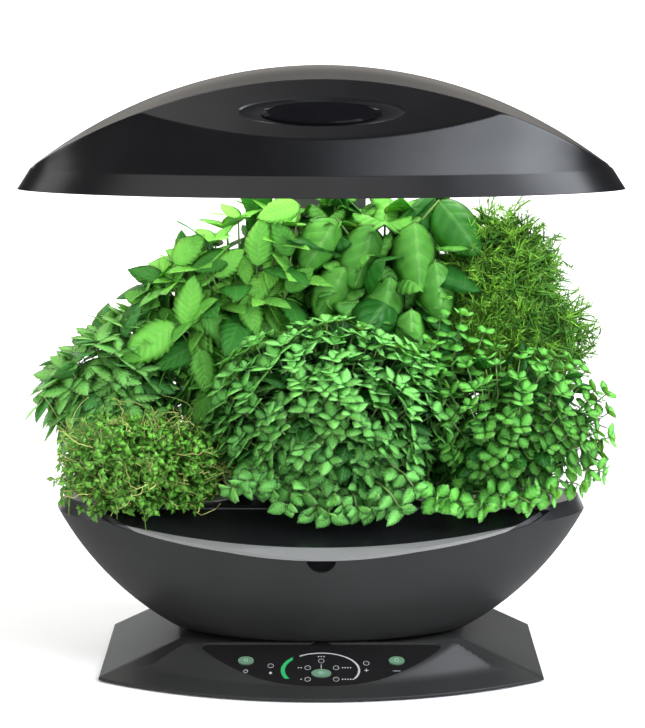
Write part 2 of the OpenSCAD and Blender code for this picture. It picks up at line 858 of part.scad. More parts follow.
module bowl_socket() {
    color("#26282a") at_tips() difference() {
        block([plug_w + 10, 25, 24], [0, 79, base_top]);
        block([plug_w + 1, 18, plug_h + 1], [0, 72, plug_z - plug_h / 2 - 0.5]);
    }
}

// ---------------------------------------------------------------- plants

stem_r = 3;

// Foliage inside its own cell, clear of the fill door's swing, on a stem that stands in the pod's sponge
module plant(stem, side, low_y, high_y, masses, shade) {
    color(shade) at_tips() {
        difference() {
            intersection() {
                hull() for (m = masses) translate(m[0]) scale(m[1]) sphere(r = 1, $fn = 20);
                translate([0, high_y, 0]) rotate([90, 0, 0]) linear_extrude(high_y - low_y) polygon(side);
            }
            along_x(-200, 200) polygon([[hinge_y, 100], [-120, 100], [-120, 168], [hinge_y + 2, deck_z + 3]]);
        }
        translate([stem[0], stem[1], sponge_top]) cylinder(r = stem_r, h = masses[0][0][2] - sponge_top);
    }
}

module rear_plant(pod, side, masses, shade) {
    plant(pod, side, row_y + 1, 80, masses, shade);
}

module front_plant(pod, side, masses, shade) {
    plant(pod, side, -90, row_y, masses, shade);
}

function upright_cell(left, right, top) = [[left, herb_low], [right, herb_low], [right, top], [left, top]];

module plant_broadleaf() {
    masses = [[[-116, 24, 140], [14, 14, 17]], [[-145, 36, 191], [43, 28, 49]]];
    rear_plant(pods[0], upright_cell(-197, -109, lean_z), masses, "#2f9a3c");
}

// It leans to the left over the broad-leaved herb
module plant_pointed() {
    side = [[-108, herb_low], [-3, herb_low], [-3, herb_top], [-150, herb_top], [-150, lean_z + 1], [-108, lean_z + 1]];
    masses = [[[-52, 40, 150], [30, 24, 26]], [[-60, 40, 250], [51, 30, 56]], [[-104, 38, 253], [22, 22, 24]]];
    rear_plant(pods[1], side, masses, "#4fae3c");
}

module plant_basil() {
    masses = [[[44, 40, 168], [32, 24, 38]], [[42, 44, 262], [45, 27, 45]]];
    rear_plant(pods[2], upright_cell(-2, 92, herb_top), masses, "#43a845");
}

module plant_dill() {
    masses = [[[118, 28, 150], [12, 12, 18]], [[133, 42, 205], [29, 25, 28]], [[122, 42, 260], [30, 25, 45]]];
    rear_plant(pods[3], upright_cell(93, 190, herb_top), masses, "#2f8a4a");
}

module plant_thyme() {
    front_plant(pods[4], upright_cell(-178, -71, herb_top), [[[-118, -33, 143], [52, 39, 35]]], "#5f9a3c");
}

module plant_bush() {
    front_plant(pods[5], upright_cell(-70, 75, herb_top), [[[5, -36, 176], [74, 45, 61]]], "#4fb848");
}

module plant_mint() {
    masses = [[[126, -30, 158], [50, 34, 40]], [[122, -30, 196], [46, 28, 24]], [[88, -30, 226], [12, 12, 16]]];
    front_plant(pods[6], upright_cell(76, 190, herb_top), masses, "#48a846");
}

base_housing();
base_plate();
rubber_feet();
base_screws();
control_overlay();
button_light();
button_select();
button_reset();
indicator_lenses();
control_board();
push_switches();
lamp_ballast();
transformer();
power_inlet();
bowl_socket();
mast_sleeve();
release_lever();
lever_pin();
lever_spring();
mast_slide();
hood_bracket();
hood_screws();
hood_shell();
hood_badge();
reflector();
socket_block();
lamp_sockets();
lamp_caps();
lamp_bases();
lamp_tubes();
bowl();
grow_deck();
fill_door();
grow_baskets();
rooting_sponges();
pod_labels();
pump_body();
pump_impeller();
pump_cover();
pump_filter();
riser_tube();
bowl_plug();
float_guide();
water_float();
plant_broadleaf();
plant_pointed();
plant_basil();
plant_dill();
plant_thyme();
plant_bush();
plant_mint();
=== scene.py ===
from math import atan, atan2, copysign, cos, hypot, log, pi, radians, sin, sqrt, tan

import bpy
import numpy as np
from mathutils import Matrix, Vector


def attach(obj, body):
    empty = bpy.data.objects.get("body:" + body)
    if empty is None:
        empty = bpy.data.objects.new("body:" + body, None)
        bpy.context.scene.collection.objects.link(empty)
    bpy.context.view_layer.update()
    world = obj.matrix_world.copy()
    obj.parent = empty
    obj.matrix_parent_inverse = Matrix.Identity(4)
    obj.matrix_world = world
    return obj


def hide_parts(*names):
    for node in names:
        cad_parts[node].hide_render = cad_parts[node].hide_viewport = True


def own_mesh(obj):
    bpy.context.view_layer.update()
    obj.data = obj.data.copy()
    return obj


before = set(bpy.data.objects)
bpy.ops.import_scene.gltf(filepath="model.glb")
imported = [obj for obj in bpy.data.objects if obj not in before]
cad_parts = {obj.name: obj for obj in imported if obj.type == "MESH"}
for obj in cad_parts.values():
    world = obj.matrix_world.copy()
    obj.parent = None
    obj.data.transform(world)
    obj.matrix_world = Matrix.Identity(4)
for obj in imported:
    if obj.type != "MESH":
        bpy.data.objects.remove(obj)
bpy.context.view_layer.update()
bpy.ops.object.select_all(action="DESELECT")


# ---- Studio
# The camera stands in front of the garden, a little higher than the hood, and looks slightly down. The garden is on
# white paper that turns up low behind it, between soft boxes on the right, in front, overhead and at the back.
looking_down = radians(8.554)
bpy.ops.object.camera_add(location=(0.0008, -1.717, 0.460), rotation=(pi / 2 - looking_down, 0, 0))
camera = bpy.context.object
camera.data.lens = 128.2
camera.data.clip_start = 0.05
bpy.context.scene.camera = camera
bpy.context.scene.view_settings.view_transform = "Standard"


class Wire:
    """One socket of a material. Sums written on it add the Math nodes that work them out."""

    def __init__(self, socket):
        self.socket = socket

    def add(self, kind, settings, values, out=0):
        """A new node of the same material: its settings first, then a value or a link for each socket."""
        node = self.socket.id_data.nodes.new("ShaderNode" + kind)
        for name, value in settings.items():
            setattr(node, name, value)
        self.feed(node, values)
        return Wire(node.outputs[out])

    def feed(self, node, values):
        for name, value in values.items():
            if isinstance(value, Wire):
                self.socket.id_data.links.new(value.socket, node.inputs[name])
            else:
                node.inputs[name].default_value = value

    def work(self, operation, first, second=0.0):
        return self.add("Math", {"operation": operation}, {0: first, 1: second})

    def between(self, low, high):
        """0 below low, 1 above high, and a smooth climb from one to the other."""
        return self.add("MapRange", {"interpolation_type": "SMOOTHSTEP"},
                        {"Value": self, "From Min": low, "From Max": high})

    def tint(self, colour_at_0, colour_at_1):
        """A colour that goes from one to the other with this value."""
        ends = [end if isinstance(end, Wire) else (*end, 1) for end in (colour_at_0, colour_at_1)]
        return self.add("Mix", {"data_type": "RGBA"}, {0: self, 6: ends[0], 7: ends[1]}, out=2)

    def noise(self, scale, detail=3.0, rough=0.5):
        """Noise on these coordinates, scale in bumps to the metre."""
        return self.add("TexNoise", {}, {"Vector": self, "Scale": scale, "Detail": detail, "Roughness": rough})

    def part(self, axis):
        return self.add("SeparateXYZ", {}, {"Vector": self}, out="XYZ".index(axis))

    def bump(self, height_mm, strength=1.0):
        return self.add("Bump", {}, {"Height": self, "Distance": height_mm / 1000, "Strength": strength})

    def sine(self):
        return self.work("SINE", self)

    def __rsub__(self, other):
        return self.work("SUBTRACT", other, self)

    def __abs__(self):
        return self.work("ABSOLUTE", self)


for sign, operation in (("add", "ADD"), ("radd", "ADD"), ("sub", "SUBTRACT"), ("mul", "MULTIPLY"),
                        ("rmul", "MULTIPLY"), ("pow", "POWER"), ("or", "MAXIMUM")):
    setattr(Wire, f"__{sign}__", lambda self, other, operation=operation: self.work(operation, self, other))


def new_finish(name, colour, roughness, **fixed):
    """A Principled material and the wire of its object's coordinates. Fixed values go straight on the shader."""
    material = bpy.data.materials.new(name)
    material.use_nodes = True
    shader = material.node_tree.nodes["Principled BSDF"]
    shader.inputs["Base Color"].default_value = (*colour, 1)
    shader.inputs["Roughness"].default_value = roughness
    for key, value in fixed.items():
        shader.inputs[key.replace("_", " ")].default_value = value
    coordinates = material.node_tree.nodes.new("ShaderNodeTexCoord")
    return material, shader, Wire(coordinates.outputs["Object"])


paper, paper_shader, on_paper = new_finish("white_paper", (0.93, 0.93, 0.93), 0.9)
on_paper.feed(paper_shader, {"Roughness": on_paper.noise(40) * 0.1 + 0.82})
half_width, front_end, turn_y, turn_radius, paper_length = 4.0, -4.5, 3.0, 0.3, 8.1
bpy.ops.mesh.primitive_grid_add(x_subdivisions=4, y_subdivisions=120, size=2)
sweep = bpy.context.object
sweep.name = "paper_sweep"
for vertex in sweep.data.vertices:
    run = (vertex.co.y + 1) / 2 * paper_length + front_end
    bend = min(max((run - turn_y) / turn_radius, 0.0), pi / 2)
    rise = max(run - turn_y - turn_radius * pi / 2, 0.0)
    vertex.co = (vertex.co.x * half_width, min(run, turn_y) + turn_radius * sin(bend),
                 turn_radius * (1 - cos(bend)) + rise)
bpy.ops.object.shade_smooth()
sweep.data.materials.append(paper)

world = bpy.data.worlds.new("studio_air")
world.use_nodes = True
world.node_tree.nodes["Background"].inputs["Color"].default_value = (1, 1, 1, 1)
world.node_tree.nodes["Background"].inputs["Strength"].default_value = 0.25
bpy.context.scene.world = world


def soft_box(name, at, towards, width, height, power, colour=(1, 1, 1)):
    bpy.ops.object.light_add(type="AREA", location=at)
    light = bpy.context.object
    light.name = name
    light.rotation_euler = (Vector(towards) - Vector(at)).to_track_quat("-Z", "Y").to_euler()
    light.data.shape = "RECTANGLE"
    light.data.size, light.data.size_y = width, height
    light.data.energy = power
    light.data.color = colour
    light.visible_camera = False


cool_white, strip_distance = (0.88, 0.925, 1.0), 1.55
soft_box("right_soft_box", (1.36, -0.71, 1.17), (0.15, -0.07, 0.35), 1.0, 0.8, 40, cool_white)
for turn, rise, power in ((11, 42, 2.2), (24, 39, 5.0), (36, 34, 8.0)):
    aside, ahead = sin(radians(turn)), cos(radians(turn))
    at = (strip_distance * aside, -strip_distance * ahead, 0.35 + strip_distance * tan(radians(rise)))
    soft_box(f"side_strip_{turn}", at, (0.08, -0.07, 0.35), 0.36, 0.7, power, cool_white)
soft_box("right_low_box", (1.35, -1.05, 0.62), (0.15, -0.07, 0.3), 1.5, 0.3, 6, cool_white)
soft_box("front_box", (-0.6, -2.25, 0.72), (0.0, 0.0, 0.3), 3.4, 0.9, 24)
soft_box("left_box", (-1.75, -0.1, 1.0), (0.0, 0.0, 0.3), 0.8, 0.8, 8)
soft_box("back_left_box", (-1.05, 2.3, 0.42), (-0.1, 0.0, 0.05), 0.9, 0.5, 3.2, (0.90, 0.95, 1.0))
soft_box("ceiling_box", (-0.85, 0.25, 2.4), (-0.85, 0.25, 0.0), 1.4, 1.4, 13)
soft_box("back_light", (-0.3, 1.9, 1.5), (0.0, 0.0, 0.35), 2.4, 2.0, 15, (1.0, 0.93, 0.84))
soft_box("backdrop_light", (0.0, 1.6, 2.2), (0.0, 3.6, 0.1), 4.0, 1.0, 150)
soft_box("lamp_glow", (0.0, -0.005, 0.318), (0.0, -0.005, 0.0), 0.26, 0.09, 0.16, (1.0, 0.98, 0.9))


# ---- Base
# The housing is one graphite ABS moulding: a front face between two flanks, a flat top with the saddle for the
# bowl, and a raised, tilted console whose edge runs out into the face in a soft hollow.
TIPS_Y = -0.017


def at_tips(x, y, z):
    """A point given in millimetres from the plane through the tips of hood and bowl."""
    return Vector((x / 1000, y / 1000 + TIPS_Y, z / 1000))


def mixed(a, b, share):
    return a + (b - a) * share


def arch(x, half, rise):
    radius = (half * half + rise * rise) / (2 * rise)
    return rise - radius + sqrt(radius * radius - min(abs(x), half) ** 2)


def rounded(corners, cuts, steps=5):
    """A line through the corners, each inner corner cut back by its own length and turned in a smooth bend."""
    line = [corners[0]]
    for before, corner, after, cut in zip(corners, corners[1:], corners[2:], cuts):
        a = corner + (before - corner) * min(cut / max((before - corner).length, 1e-6), 0.46)
        b = corner + (after - corner) * min(cut / max((after - corner).length, 1e-6), 0.46)
        for i in range(steps + 1):
            t = i / steps
            line.append(a * (1 - t) ** 2 + corner * 2 * t * (1 - t) + b * t * t)
    return line + [corners[-1]]


def close_up(piece):
    """Merges doubled points and turns all faces outwards."""
    bpy.ops.object.mode_set(mode="EDIT")
    bpy.ops.mesh.select_all(action="SELECT")
    hair = 0.000002
    bpy.ops.mesh.remove_doubles(threshold=hair)
    bpy.ops.mesh.dissolve_degenerate(threshold=hair)
    bpy.ops.mesh.normals_make_consistent(inside=False)
    bpy.ops.object.mode_set(mode="OBJECT")


def ring_skin(name, side_lines):
    """A grid primitive wrapped round: one side line after another, each in millimetres and equally long."""
    round_count, up = len(side_lines), len(side_lines[0]) - 1
    bpy.ops.object.select_all(action="DESELECT")
    bpy.ops.mesh.primitive_grid_add(x_subdivisions=round_count, y_subdivisions=up, size=2)
    skin = bpy.context.object
    skin.name = name
    for vertex in skin.data.vertices:
        column = round((vertex.co.x + 1) / 2 * round_count) % round_count
        vertex.co = at_tips(*side_lines[column][round((vertex.co.y + 1) / 2 * up)])
    close_up(skin)
    return skin


def prism(name, outline, place, low, high):
    """A cylinder primitive given another outline. Sizes in millimetres; place puts its own axes in the garden."""
    bpy.ops.object.select_all(action="DESELECT")
    bpy.ops.mesh.primitive_cylinder_add(vertices=len(outline), end_fill_type="NGON")
    piece = bpy.context.object
    piece.name = name
    for i, vertex in enumerate(piece.data.vertices):
        x, y = outline[i // 2]
        vertex.co = at_tips(*(place @ Vector((x, y, high if vertex.co.z > 0 else low))))
    close_up(piece)
    return piece


def select_only(piece):
    bpy.ops.object.select_all(action="DESELECT")
    bpy.context.view_layer.objects.active = piece
    piece.select_set(True)


def cut_with(piece, tool, operation="DIFFERENCE"):
    """Works a boolean of the tool on the piece and throws the tool away."""
    select_only(piece)
    boolean = piece.modifiers.new("cut", "BOOLEAN")
    boolean.object, boolean.operation, boolean.solver = tool, operation, "EXACT"
    bpy.ops.object.modifier_apply(modifier=boolean.name)
    bpy.data.objects.remove(tool)


def box_outline(width, height):
    return [(width / 2, height / 2), (-width / 2, height / 2), (-width / 2, -height / 2), (width / 2, -height / 2)]


def dress(material, *nodes):
    """Gives CAD nodes their finish."""
    for node in nodes:
        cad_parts[node].data.materials.clear()
        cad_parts[node].data.materials.append(material)


def stand_for(piece, body, node, material, crisp_angle):
    """Finishes a rebuilt shell: smooth shading up to an angle, its material, its body and the node it shows."""
    select_only(piece)
    bpy.ops.object.shade_smooth_by_angle(angle=radians(crisp_angle))
    weigh = piece.modifiers.new("weigh", "WEIGHTED_NORMAL")
    weigh.keep_sharp = True
    bpy.ops.object.modifier_apply(modifier=weigh.name)
    piece.data.materials.clear()
    piece.data.materials.append(material)
    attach(piece, body)
    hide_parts(node)


def plan_arc(half, corner_y, rise, count):
    return [(-half + 2 * half * i / count, corner_y - arch(-half + 2 * half * i / count, half, rise))
            for i in range(count)]


def straight(start, end, count):
    return [(mixed(start[0], end[0], i / count), mixed(start[1], end[1], i / count)) for i in range(count)]


def base_ring(half, corner, rise, rear_half, rear_corner, rear_rise, inset, z):
    """The base's plan, a front and a rear arc joined by straight flanks, as points at one height."""
    front = plan_arc(half - inset, corner + inset, rise, 110)
    rear = [(-x, -y) for x, y in plan_arc(rear_half - inset, -rear_corner + inset, rear_rise, 70)]
    right = straight((half - inset, corner + inset), (rear_half - inset, rear_corner - inset), 30)
    left = straight((inset - rear_half, rear_corner - inset), (inset - half, corner + inset), 30)
    return [Vector((x, y, z)) for x, y in front + right + rear + left]


foot_half, foot_z, top_half, top_z = 146.4, 1.2, 92, 26


def foot_ring(inset, z):
    return base_ring(foot_half, -46, 51, 147, 96, 33, inset, z)


CONSOLE_TILT = radians(30.5)
CONSOLE_Y = -67  # where the console's face is 18.2 mm high


def console_height(y):
    return 18.2 + (y - CONSOLE_Y) * tan(CONSOLE_TILT)


def soft_max(a, b, soft):
    share = min(max(0.5 + 0.5 * (a - b) / soft, 0), 1)
    return mixed(b, a, share) + soft * share * (1 - share)


def housing_height(point):
    """Lifts a point of the plain housing to the console where that stands higher."""
    x, y, z = point
    console_centre_y, console_radius = 43, 128
    outside = hypot(x, y - console_centre_y) - console_radius
    pad = console_height(y) - max(outside, 0) * 0.9 - max(y + 50, 0) * 2.2
    flank = top_z + (top_half - abs(x)) * (top_z - foot_z) / (foot_half - top_half)
    return Vector((x, y, soft_max(z, -soft_max(-pad, -flank, 1.0), 2.2)))


rim_in, roof_in = foot_ring(2.6, foot_z), foot_ring(6.4, 3.4)
outer, upright = foot_ring(0, foot_z), foot_ring(0, 2.7)
upper = base_ring(top_half, -30, 18, 104, 80, 28, 0, top_z)
top_middle, under_middle = Vector((0, 20, top_z)), Vector((0, 20, 3.4))
side_lines = []
for i in range(len(outer)):
    bends = rounded([rim_in[i], outer[i], upright[i], upper[i], top_middle], [0.3, 0.8, 1.6], 4)[1:-1]
    slope = (upper[i] - upright[i]).length
    face = [upright[i].lerp(upper[i], share) for share in np.linspace(0.9 / slope, 1 - 1.75 / slope, 44)]
    top = [upper[i].lerp(top_middle, share) for share in np.linspace(0.04, 1, 22)]
    low = [under_middle, roof_in[i], rim_in[i]] + bends[:9]
    side_lines.append(low + [housing_height(p) for p in face + bends[-5:] + top])
housing = ring_skin("base_shell", side_lines)


def film_outline(grow=0.0):
    """The film's plan: a smiling arc, rounded corners, and a shallow tab in the middle of its top edge."""
    corner, top, radius, centre_y, tab_half, tab_rise = 3.0, -51.5 + grow, 115 + grow, 29.5, 6.8, 2.6
    top_y = top - corner
    reach = sqrt((radius - corner) ** 2 - (centre_y - top_y) ** 2)
    start = atan2(top_y - centre_y, reach)

    def turned(x, y, size, first, last, steps, count):
        angles = [mixed(first, last, i / count) for i in steps]
        return [(x + size * cos(angle), y + size * sin(angle)) for angle in angles]

    tab = [mixed(tab_half, -tab_half, i / 8) for i in range(9)]
    return (turned(0, centre_y, radius, -pi - start, start, range(61), 60)
            + turned(reach, top_y, corner, start, pi / 2, range(1, 7), 6)
            + [(x, top + tab_rise * cos(x / tab_half * pi / 2)) for x in tab]
            + turned(-reach, top_y, corner, pi / 2, pi - start, range(6), 6))


film_cutter = prism("film_cutter", film_outline(0.3), Matrix.Identity(4), 0, 1)
for vertex in film_cutter.data.vertices:
    lift = 8 if vertex.co.z > 0.0005 else -1.2
    vertex.co.z = (console_height((vertex.co.y - TIPS_Y) * 1000) + lift / cos(CONSOLE_TILT)) / 1000
cut_with(housing, film_cutter)
cut_with(housing, prism("sleeve_cutter", box_outline(84.4, 30.4), Matrix.Translation((0, 107, 0)), 0, 60))
cut_with(housing, prism("inlet_cutter", box_outline(22.4, 40), Matrix.Translation((62, 115, 0)), 4.8, 18.6))


def plump(angle):
    """Depth of the pointed oval that hood, bowl and saddle share, as a share of its half depth."""
    return abs(sin(angle)) ** 1.2


ROUND = [2 * pi * i / 224 for i in range(224)]
saddle = [(90 * cos(a), copysign((40 if a < pi else 42) * plump(a), sin(a))) for a in ROUND[::2]]
cut_with(housing, prism("saddle_pad", saddle, Matrix.Identity(4), 25, 28.2), "UNION")

graphite, graphite_shader, on_graphite = new_finish("graphite_abs", (0.035, 0.036, 0.037), 0.42,
                                                    Specular_IOR_Level=0.0, Coat_Roughness=0.38)
grain = on_graphite.noise(2600, 2)
cloud = on_graphite.noise(14, 3)
scoop_z = 92
across, up = on_graphite.part("X") * 1000, on_graphite.part("Z") * 1000 - scoop_z
from_scoop = (across ** 2 + up ** 2) ** 0.5
# Painted shade: inside the finger scoop the graphite is painted near black, with less coat, for the shade in the
# recess.
scoop_painted_shade = (1 - from_scoop.between(9.2, 10.0)) * (1 - on_graphite.part("Y").between(-0.09, -0.08))
shell_colour = cloud.between(0.25, 0.8).tint((0.020, 0.020, 0.0192), (0.026, 0.026, 0.0252))
on_graphite.feed(graphite_shader, {
    "Base Color": scoop_painted_shade.tint(shell_colour, (0.004, 0.004, 0.005)),
    "Coat Weight": 0.30 - scoop_painted_shade * 0.25 + grain * 0.04,
    "Roughness": grain * 0.10 + cloud * 0.06 + 0.34,
    "Normal": grain.bump(0.02, 0.45)})
stand_for(housing, "base", "base_housing", graphite, 26)


def plain_finish(name, colour, roughness, cloud, dark, light, grain, vary, least, bump=None, **fixed):
    """A finish that clouds between two shades. Fine grain varies its roughness and, given a bump, its surface."""
    material, shader, place = new_finish(name, colour, roughness, **fixed)
    fine = place.noise(*grain)
    values = {"Base Color": place.noise(*cloud).tint(dark, light), "Roughness": fine * vary + least}
    if bump:
        values["Normal"] = fine.bump(*bump)
    place.feed(shader, values)
    return material


# Under it: an injected plate with air slots, six steel screws and four rubber feet.
dark_plastic = plain_finish("dark_plastic", (0.016, 0.016, 0.017), 0.5, (30,), (0.012, 0.012, 0.013),
                            (0.022, 0.022, 0.023), (1500, 3), 0.2, 0.4, (0.03, 0.5))
dress(dark_plastic, "base_plate")

dress(plain_finish("black_rubber", (0.012, 0.012, 0.012), 0.8, (400,), (0.009, 0.009, 0.009), (0.02, 0.02, 0.019),
                   (900,), 0.2, 0.7), "rubber_feet")

steel = plain_finish("zinc_plated_steel", (0.55, 0.56, 0.58), 0.3, (120,), (0.45, 0.46, 0.48),
                     (0.62, 0.62, 0.63), (700, 4), 0.25, 0.2, Metallic=1.0)
dress(steel, "base_screws")


# ---- Console
# A film printed on its back lies in the console's recess. Its marks are plain: an oval in two halves round the
# program button, rings round the indicators, and one to five dots for the five programs.
film, film_shader, on_film = new_finish("printed_film", (0.012, 0.010, 0.010), 0.3, Specular_IOR_Level=0.25)
along_x = on_film.part("X") * 1000
from_console_y = -(CONSOLE_Y + TIPS_Y * 1000)
up_slope = (on_film.part("Y") * 1000 + from_console_y) * (1 / cos(CONSOLE_TILT))


def slope_place(x, y):
    return x, (y - CONSOLE_Y) / cos(CONSOLE_TILT)


def off_oval(x, y, half_width, half_height):
    """Distance from an oval's line, about in millimetres."""
    x, y = slope_place(x, y)
    flat = ((along_x - x) * (1 / half_width)) ** 2 + ((up_slope - y) * (1 / half_height)) ** 2
    return (flat ** 0.5 - 1) * min(half_width, half_height)


def printed(distance, half_line):
    return 1 - abs(distance).between(half_line - 0.08, half_line + 0.08)


def dot(x, y, radius):
    return 1 - off_oval(x, y, radius, radius).between(-0.08, 0.08)


def bar(x, y, half_width, half_height, along=along_x, up=up_slope, soft=0.06):
    x, y = slope_place(x, y)
    across = 1 - abs(along - x).between(half_width - soft, half_width + soft)
    return across * (1 - abs(up - y).between(half_height - soft, half_height + soft))


program_lights = [(-8.8, -78.4), (-8.8, -69.5), (0, -64.2), (9.6, -69.5), (9.6, -78.4)]
lone_lights = [(-32.8, -68), (29.2, -66)]
marks = [bar(0, -69, 0.2, 2.6), printed(off_oval(-48.9, -72.2, 1.3, 1.3), 0.2), bar(48.9, -72.0, 2.4, 0.2),
         dot(-32.8, -73.5, 1.0), bar(29.2, -71.5, 1.4, 0.22), bar(29.2, -71.5, 0.22, 1.4)]
marks += [printed(off_oval(x, y, 1.8, 1.8), 0.16) for x, y in program_lights + lone_lights]
for count, (x, y) in enumerate(program_lights, 1):
    for k in range(count):
        side = copysign(4.2 + k * 1.7, x) if x else (k - 1) * 1.7
        marks.append(dot(x + side, y if x else y + 3.4, 0.5))
above_cut = up_slope.between(-13.0, -12.4)
white_marks = printed(off_oval(0, -71.5, 24.5, 15.5), 0.42) * above_cut * along_x.between(-14.5, -13.5)
for mark in marks:
    white_marks = white_marks | mark
green_marks = printed(off_oval(0, -71.5, 24.9, 15.9), 0.85) * above_cut * (1 - along_x.between(-19, -18))
film_base = on_film.noise(60).tint((0.0065, 0.0060, 0.0062), (0.0095, 0.0085, 0.0088))
with_white = (white_marks * 0.9).tint(film_base, (0.42, 0.42, 0.42))
on_film.feed(film_shader, {
    "Base Color": (green_marks * 0.95).tint(with_white, (0.025, 0.33, 0.10)),
    "Roughness": on_film.noise(500) * 0.15 + 0.28,
    "Normal": on_film.noise(1800, 2).bump(0.01, 0.4)})
dress(film, "control_overlay")

# Three pale green rubber buttons, each with engraved marks, and seven light guides that are dark while unlit.
button_green, button_shader, on_button = new_finish("button_green", (0.10, 0.19, 0.115), 0.45,
                                                    Subsurface_Weight=0.15, Subsurface_Scale=0.001)
button_x, button_y = on_button.part("X") * 1000, (on_button.part("Y") * 1000 + from_console_y) * 1.16


def round_mark(x, y, radius, half_line):
    x, y = slope_place(x, y)
    ring = ((button_x - x) ** 2 + (button_y - y) ** 2) ** 0.5
    return printed(ring - radius, half_line)


def bar_mark(x, y, half_width, half_height):
    return bar(x, y, half_width, half_height, button_x, button_y, 0.08)


engraved = round_mark(-48.9, -64.8, 1.2, 0.22) | round_mark(48.9, -64.8, 1.3, 0.22)
engraved = engraved | bar_mark(0, -74.6, 2.2, 0.22) | bar_mark(0, -73.7, 1.2, 0.2) | bar_mark(0, -75.5, 1.2, 0.2)
on_button.feed(button_shader, {
    "Base Color": (engraved * 0.8).tint(on_button.noise(300).tint((0.080, 0.170, 0.100), (0.115, 0.210, 0.135)),
                                        (0.32, 0.48, 0.39)),
    "Roughness": on_button.noise(800) * 0.2 + 0.35,
    "Normal": (1 - engraved).bump(0.1, 0.5)})
dress(button_green, "button_light", "button_select", "button_reset")

dress(plain_finish("clear_acrylic", (0.02, 0.022, 0.02), 0.15, (900,), (0.014, 0.016, 0.015), (0.032, 0.035, 0.033),
                   (600,), 0.1, 0.1, Specular_IOR_Level=0.15), "indicator_lenses")

# Behind the film, a green circuit board with three push switches.
circuit_green, circuit_shader, on_circuit = new_finish("circuit_board", (0.01, 0.11, 0.04), 0.35)
track_run = on_circuit.part("X") * 900 + on_circuit.part("Y") * 900 + on_circuit.noise(70, 0) * 5
tracks = (track_run * 4).sine().between(0.5, 0.7)
on_circuit.feed(circuit_shader, {
    "Base Color": tracks.tint((0.008, 0.085, 0.03), (0.02, 0.19, 0.075)),
    "Roughness": tracks * 0.1 + 0.3,
    "Normal": tracks.bump(0.05, 0.6)})
dress(circuit_green, "control_board")

white_plastic = plain_finish("white_plastic", (0.72, 0.72, 0.70), 0.4, (25,), (0.68, 0.68, 0.65),
                             (0.78, 0.78, 0.76), (900, 3), 0.2, 0.3, (0.02, 0.4))
dress(white_plastic, "push_switches")


# ---- Mains parts in the base
# The lamps' ballast in a dark case, the pump's transformer with its iron sheets and copper coil, the inlet for the
# mains lead, and the socket into which the bowl's plug slides.
dress(dark_plastic, "lamp_ballast", "power_inlet", "bowl_socket")

core, core_shader, on_core = new_finish("coil_and_iron", (0.14, 0.09, 0.05), 0.45, Metallic=0.6)
coil = 1 - abs(on_core.part("X") * 1000 - 40).between(10.5, 11)
sheets = (on_core.part("Z") * 6000).sine().between(0.2, 0.6)
turns = (on_core.part("Y") * 9000).sine().between(0.0, 0.8)
iron = sheets.tint((0.05, 0.05, 0.052), (0.10, 0.10, 0.105))
on_core.feed(core_shader, {
    "Base Color": coil.tint(iron, turns.tint((0.28, 0.09, 0.03), (0.50, 0.20, 0.08))),
    "Roughness": on_core.noise(300) * 0.2 + 0.35,
    "Normal": (sheets + turns).bump(0.1, 0.5)})
dress(core, "transformer")


# ---- Mast
# A graphite sleeve stands at the back of the base. A grey bar with seven latch notches slides in it and carries the
# hood on a steel bracket, and a ribbed lever in the sleeve's back wall lets it go.
dress(graphite, "mast_sleeve")

mast_grey = plain_finish("mast_grey", (0.19, 0.195, 0.20), 0.38, (90, 2), (0.16, 0.165, 0.17),
                         (0.22, 0.225, 0.23), (1800, 2), 0.15, 0.3, (0.02, 0.4))
dress(mast_grey, "mast_slide", "release_lever")
dress(steel, "lever_pin", "lever_spring", "hood_bracket", "hood_screws")


# ---- Lamp hood
# One glossy black ABS moulding, 3 mm thick: an upright skirt, a wall that leans back, and a flat facet like a
# leaf that carries the badge, closed by a crested roof with vent slots towards the back.
rim_z, skirt_z, skirt_half = 320.5, 334.5, 191
facet_y, facet_z, facet_run = -64.5, 357.7, 1.376  # a point of the facet, and how far it runs back for its rise
front_reach, front_lean, back_reach, back_lean = 75, 0.445, 125, 0.6  # of the wall, from the plane of the tips


def hood_corners(angle):
    """The corners of the hood's side profile at one angle of its plan, from lower rim to crest."""
    back = 0 < angle < pi
    plan = plump(angle)

    def wall(z):
        rise = z - skirt_z
        return (back_reach - back_lean * rise) * plan if back else -(front_reach - front_lean * rise) * plan

    def x_at(level):
        return (skirt_half - 0.6 * level) * cos(angle)

    roof = skirt_z + arch(x_at(6), skirt_half, 66)
    if back:
        crease = mixed(skirt_z, roof, 0.8)
        facet = mixed(skirt_z, crease, 0.6)
        crease_y = wall(crease)
    else:
        crease = skirt_z + arch(x_at(4), skirt_half, 58.5)
        met = facet_z + (-facet_y - (front_reach + front_lean * skirt_z) * plan) / facet_run
        facet = min(met / (1 - front_lean * plan / facet_run), crease - 0.8)
        crease_y = max(wall(crease), facet_y + (crease - facet_z) * facet_run)
    crest_y = (35 if back else 19) * plan
    middle = mixed(skirt_z, facet, 0.5)
    return [
        Vector((200 * cos(angle), (131 if back else -76) * plan, rim_z)),
        Vector((skirt_half * cos(angle), wall(skirt_z), skirt_z)),
        Vector((x_at(2), wall(middle), middle)),
        Vector((x_at(3), wall(facet), facet)),
        Vector((x_at(4), crease_y, crease)),
        Vector((x_at(5), mixed(crease_y, crest_y, 0.5), mixed(crease, roof, 0.78))),
        Vector((x_at(6), crest_y, roof)),
        Vector((x_at(6), 27 * plan, roof)),
    ]


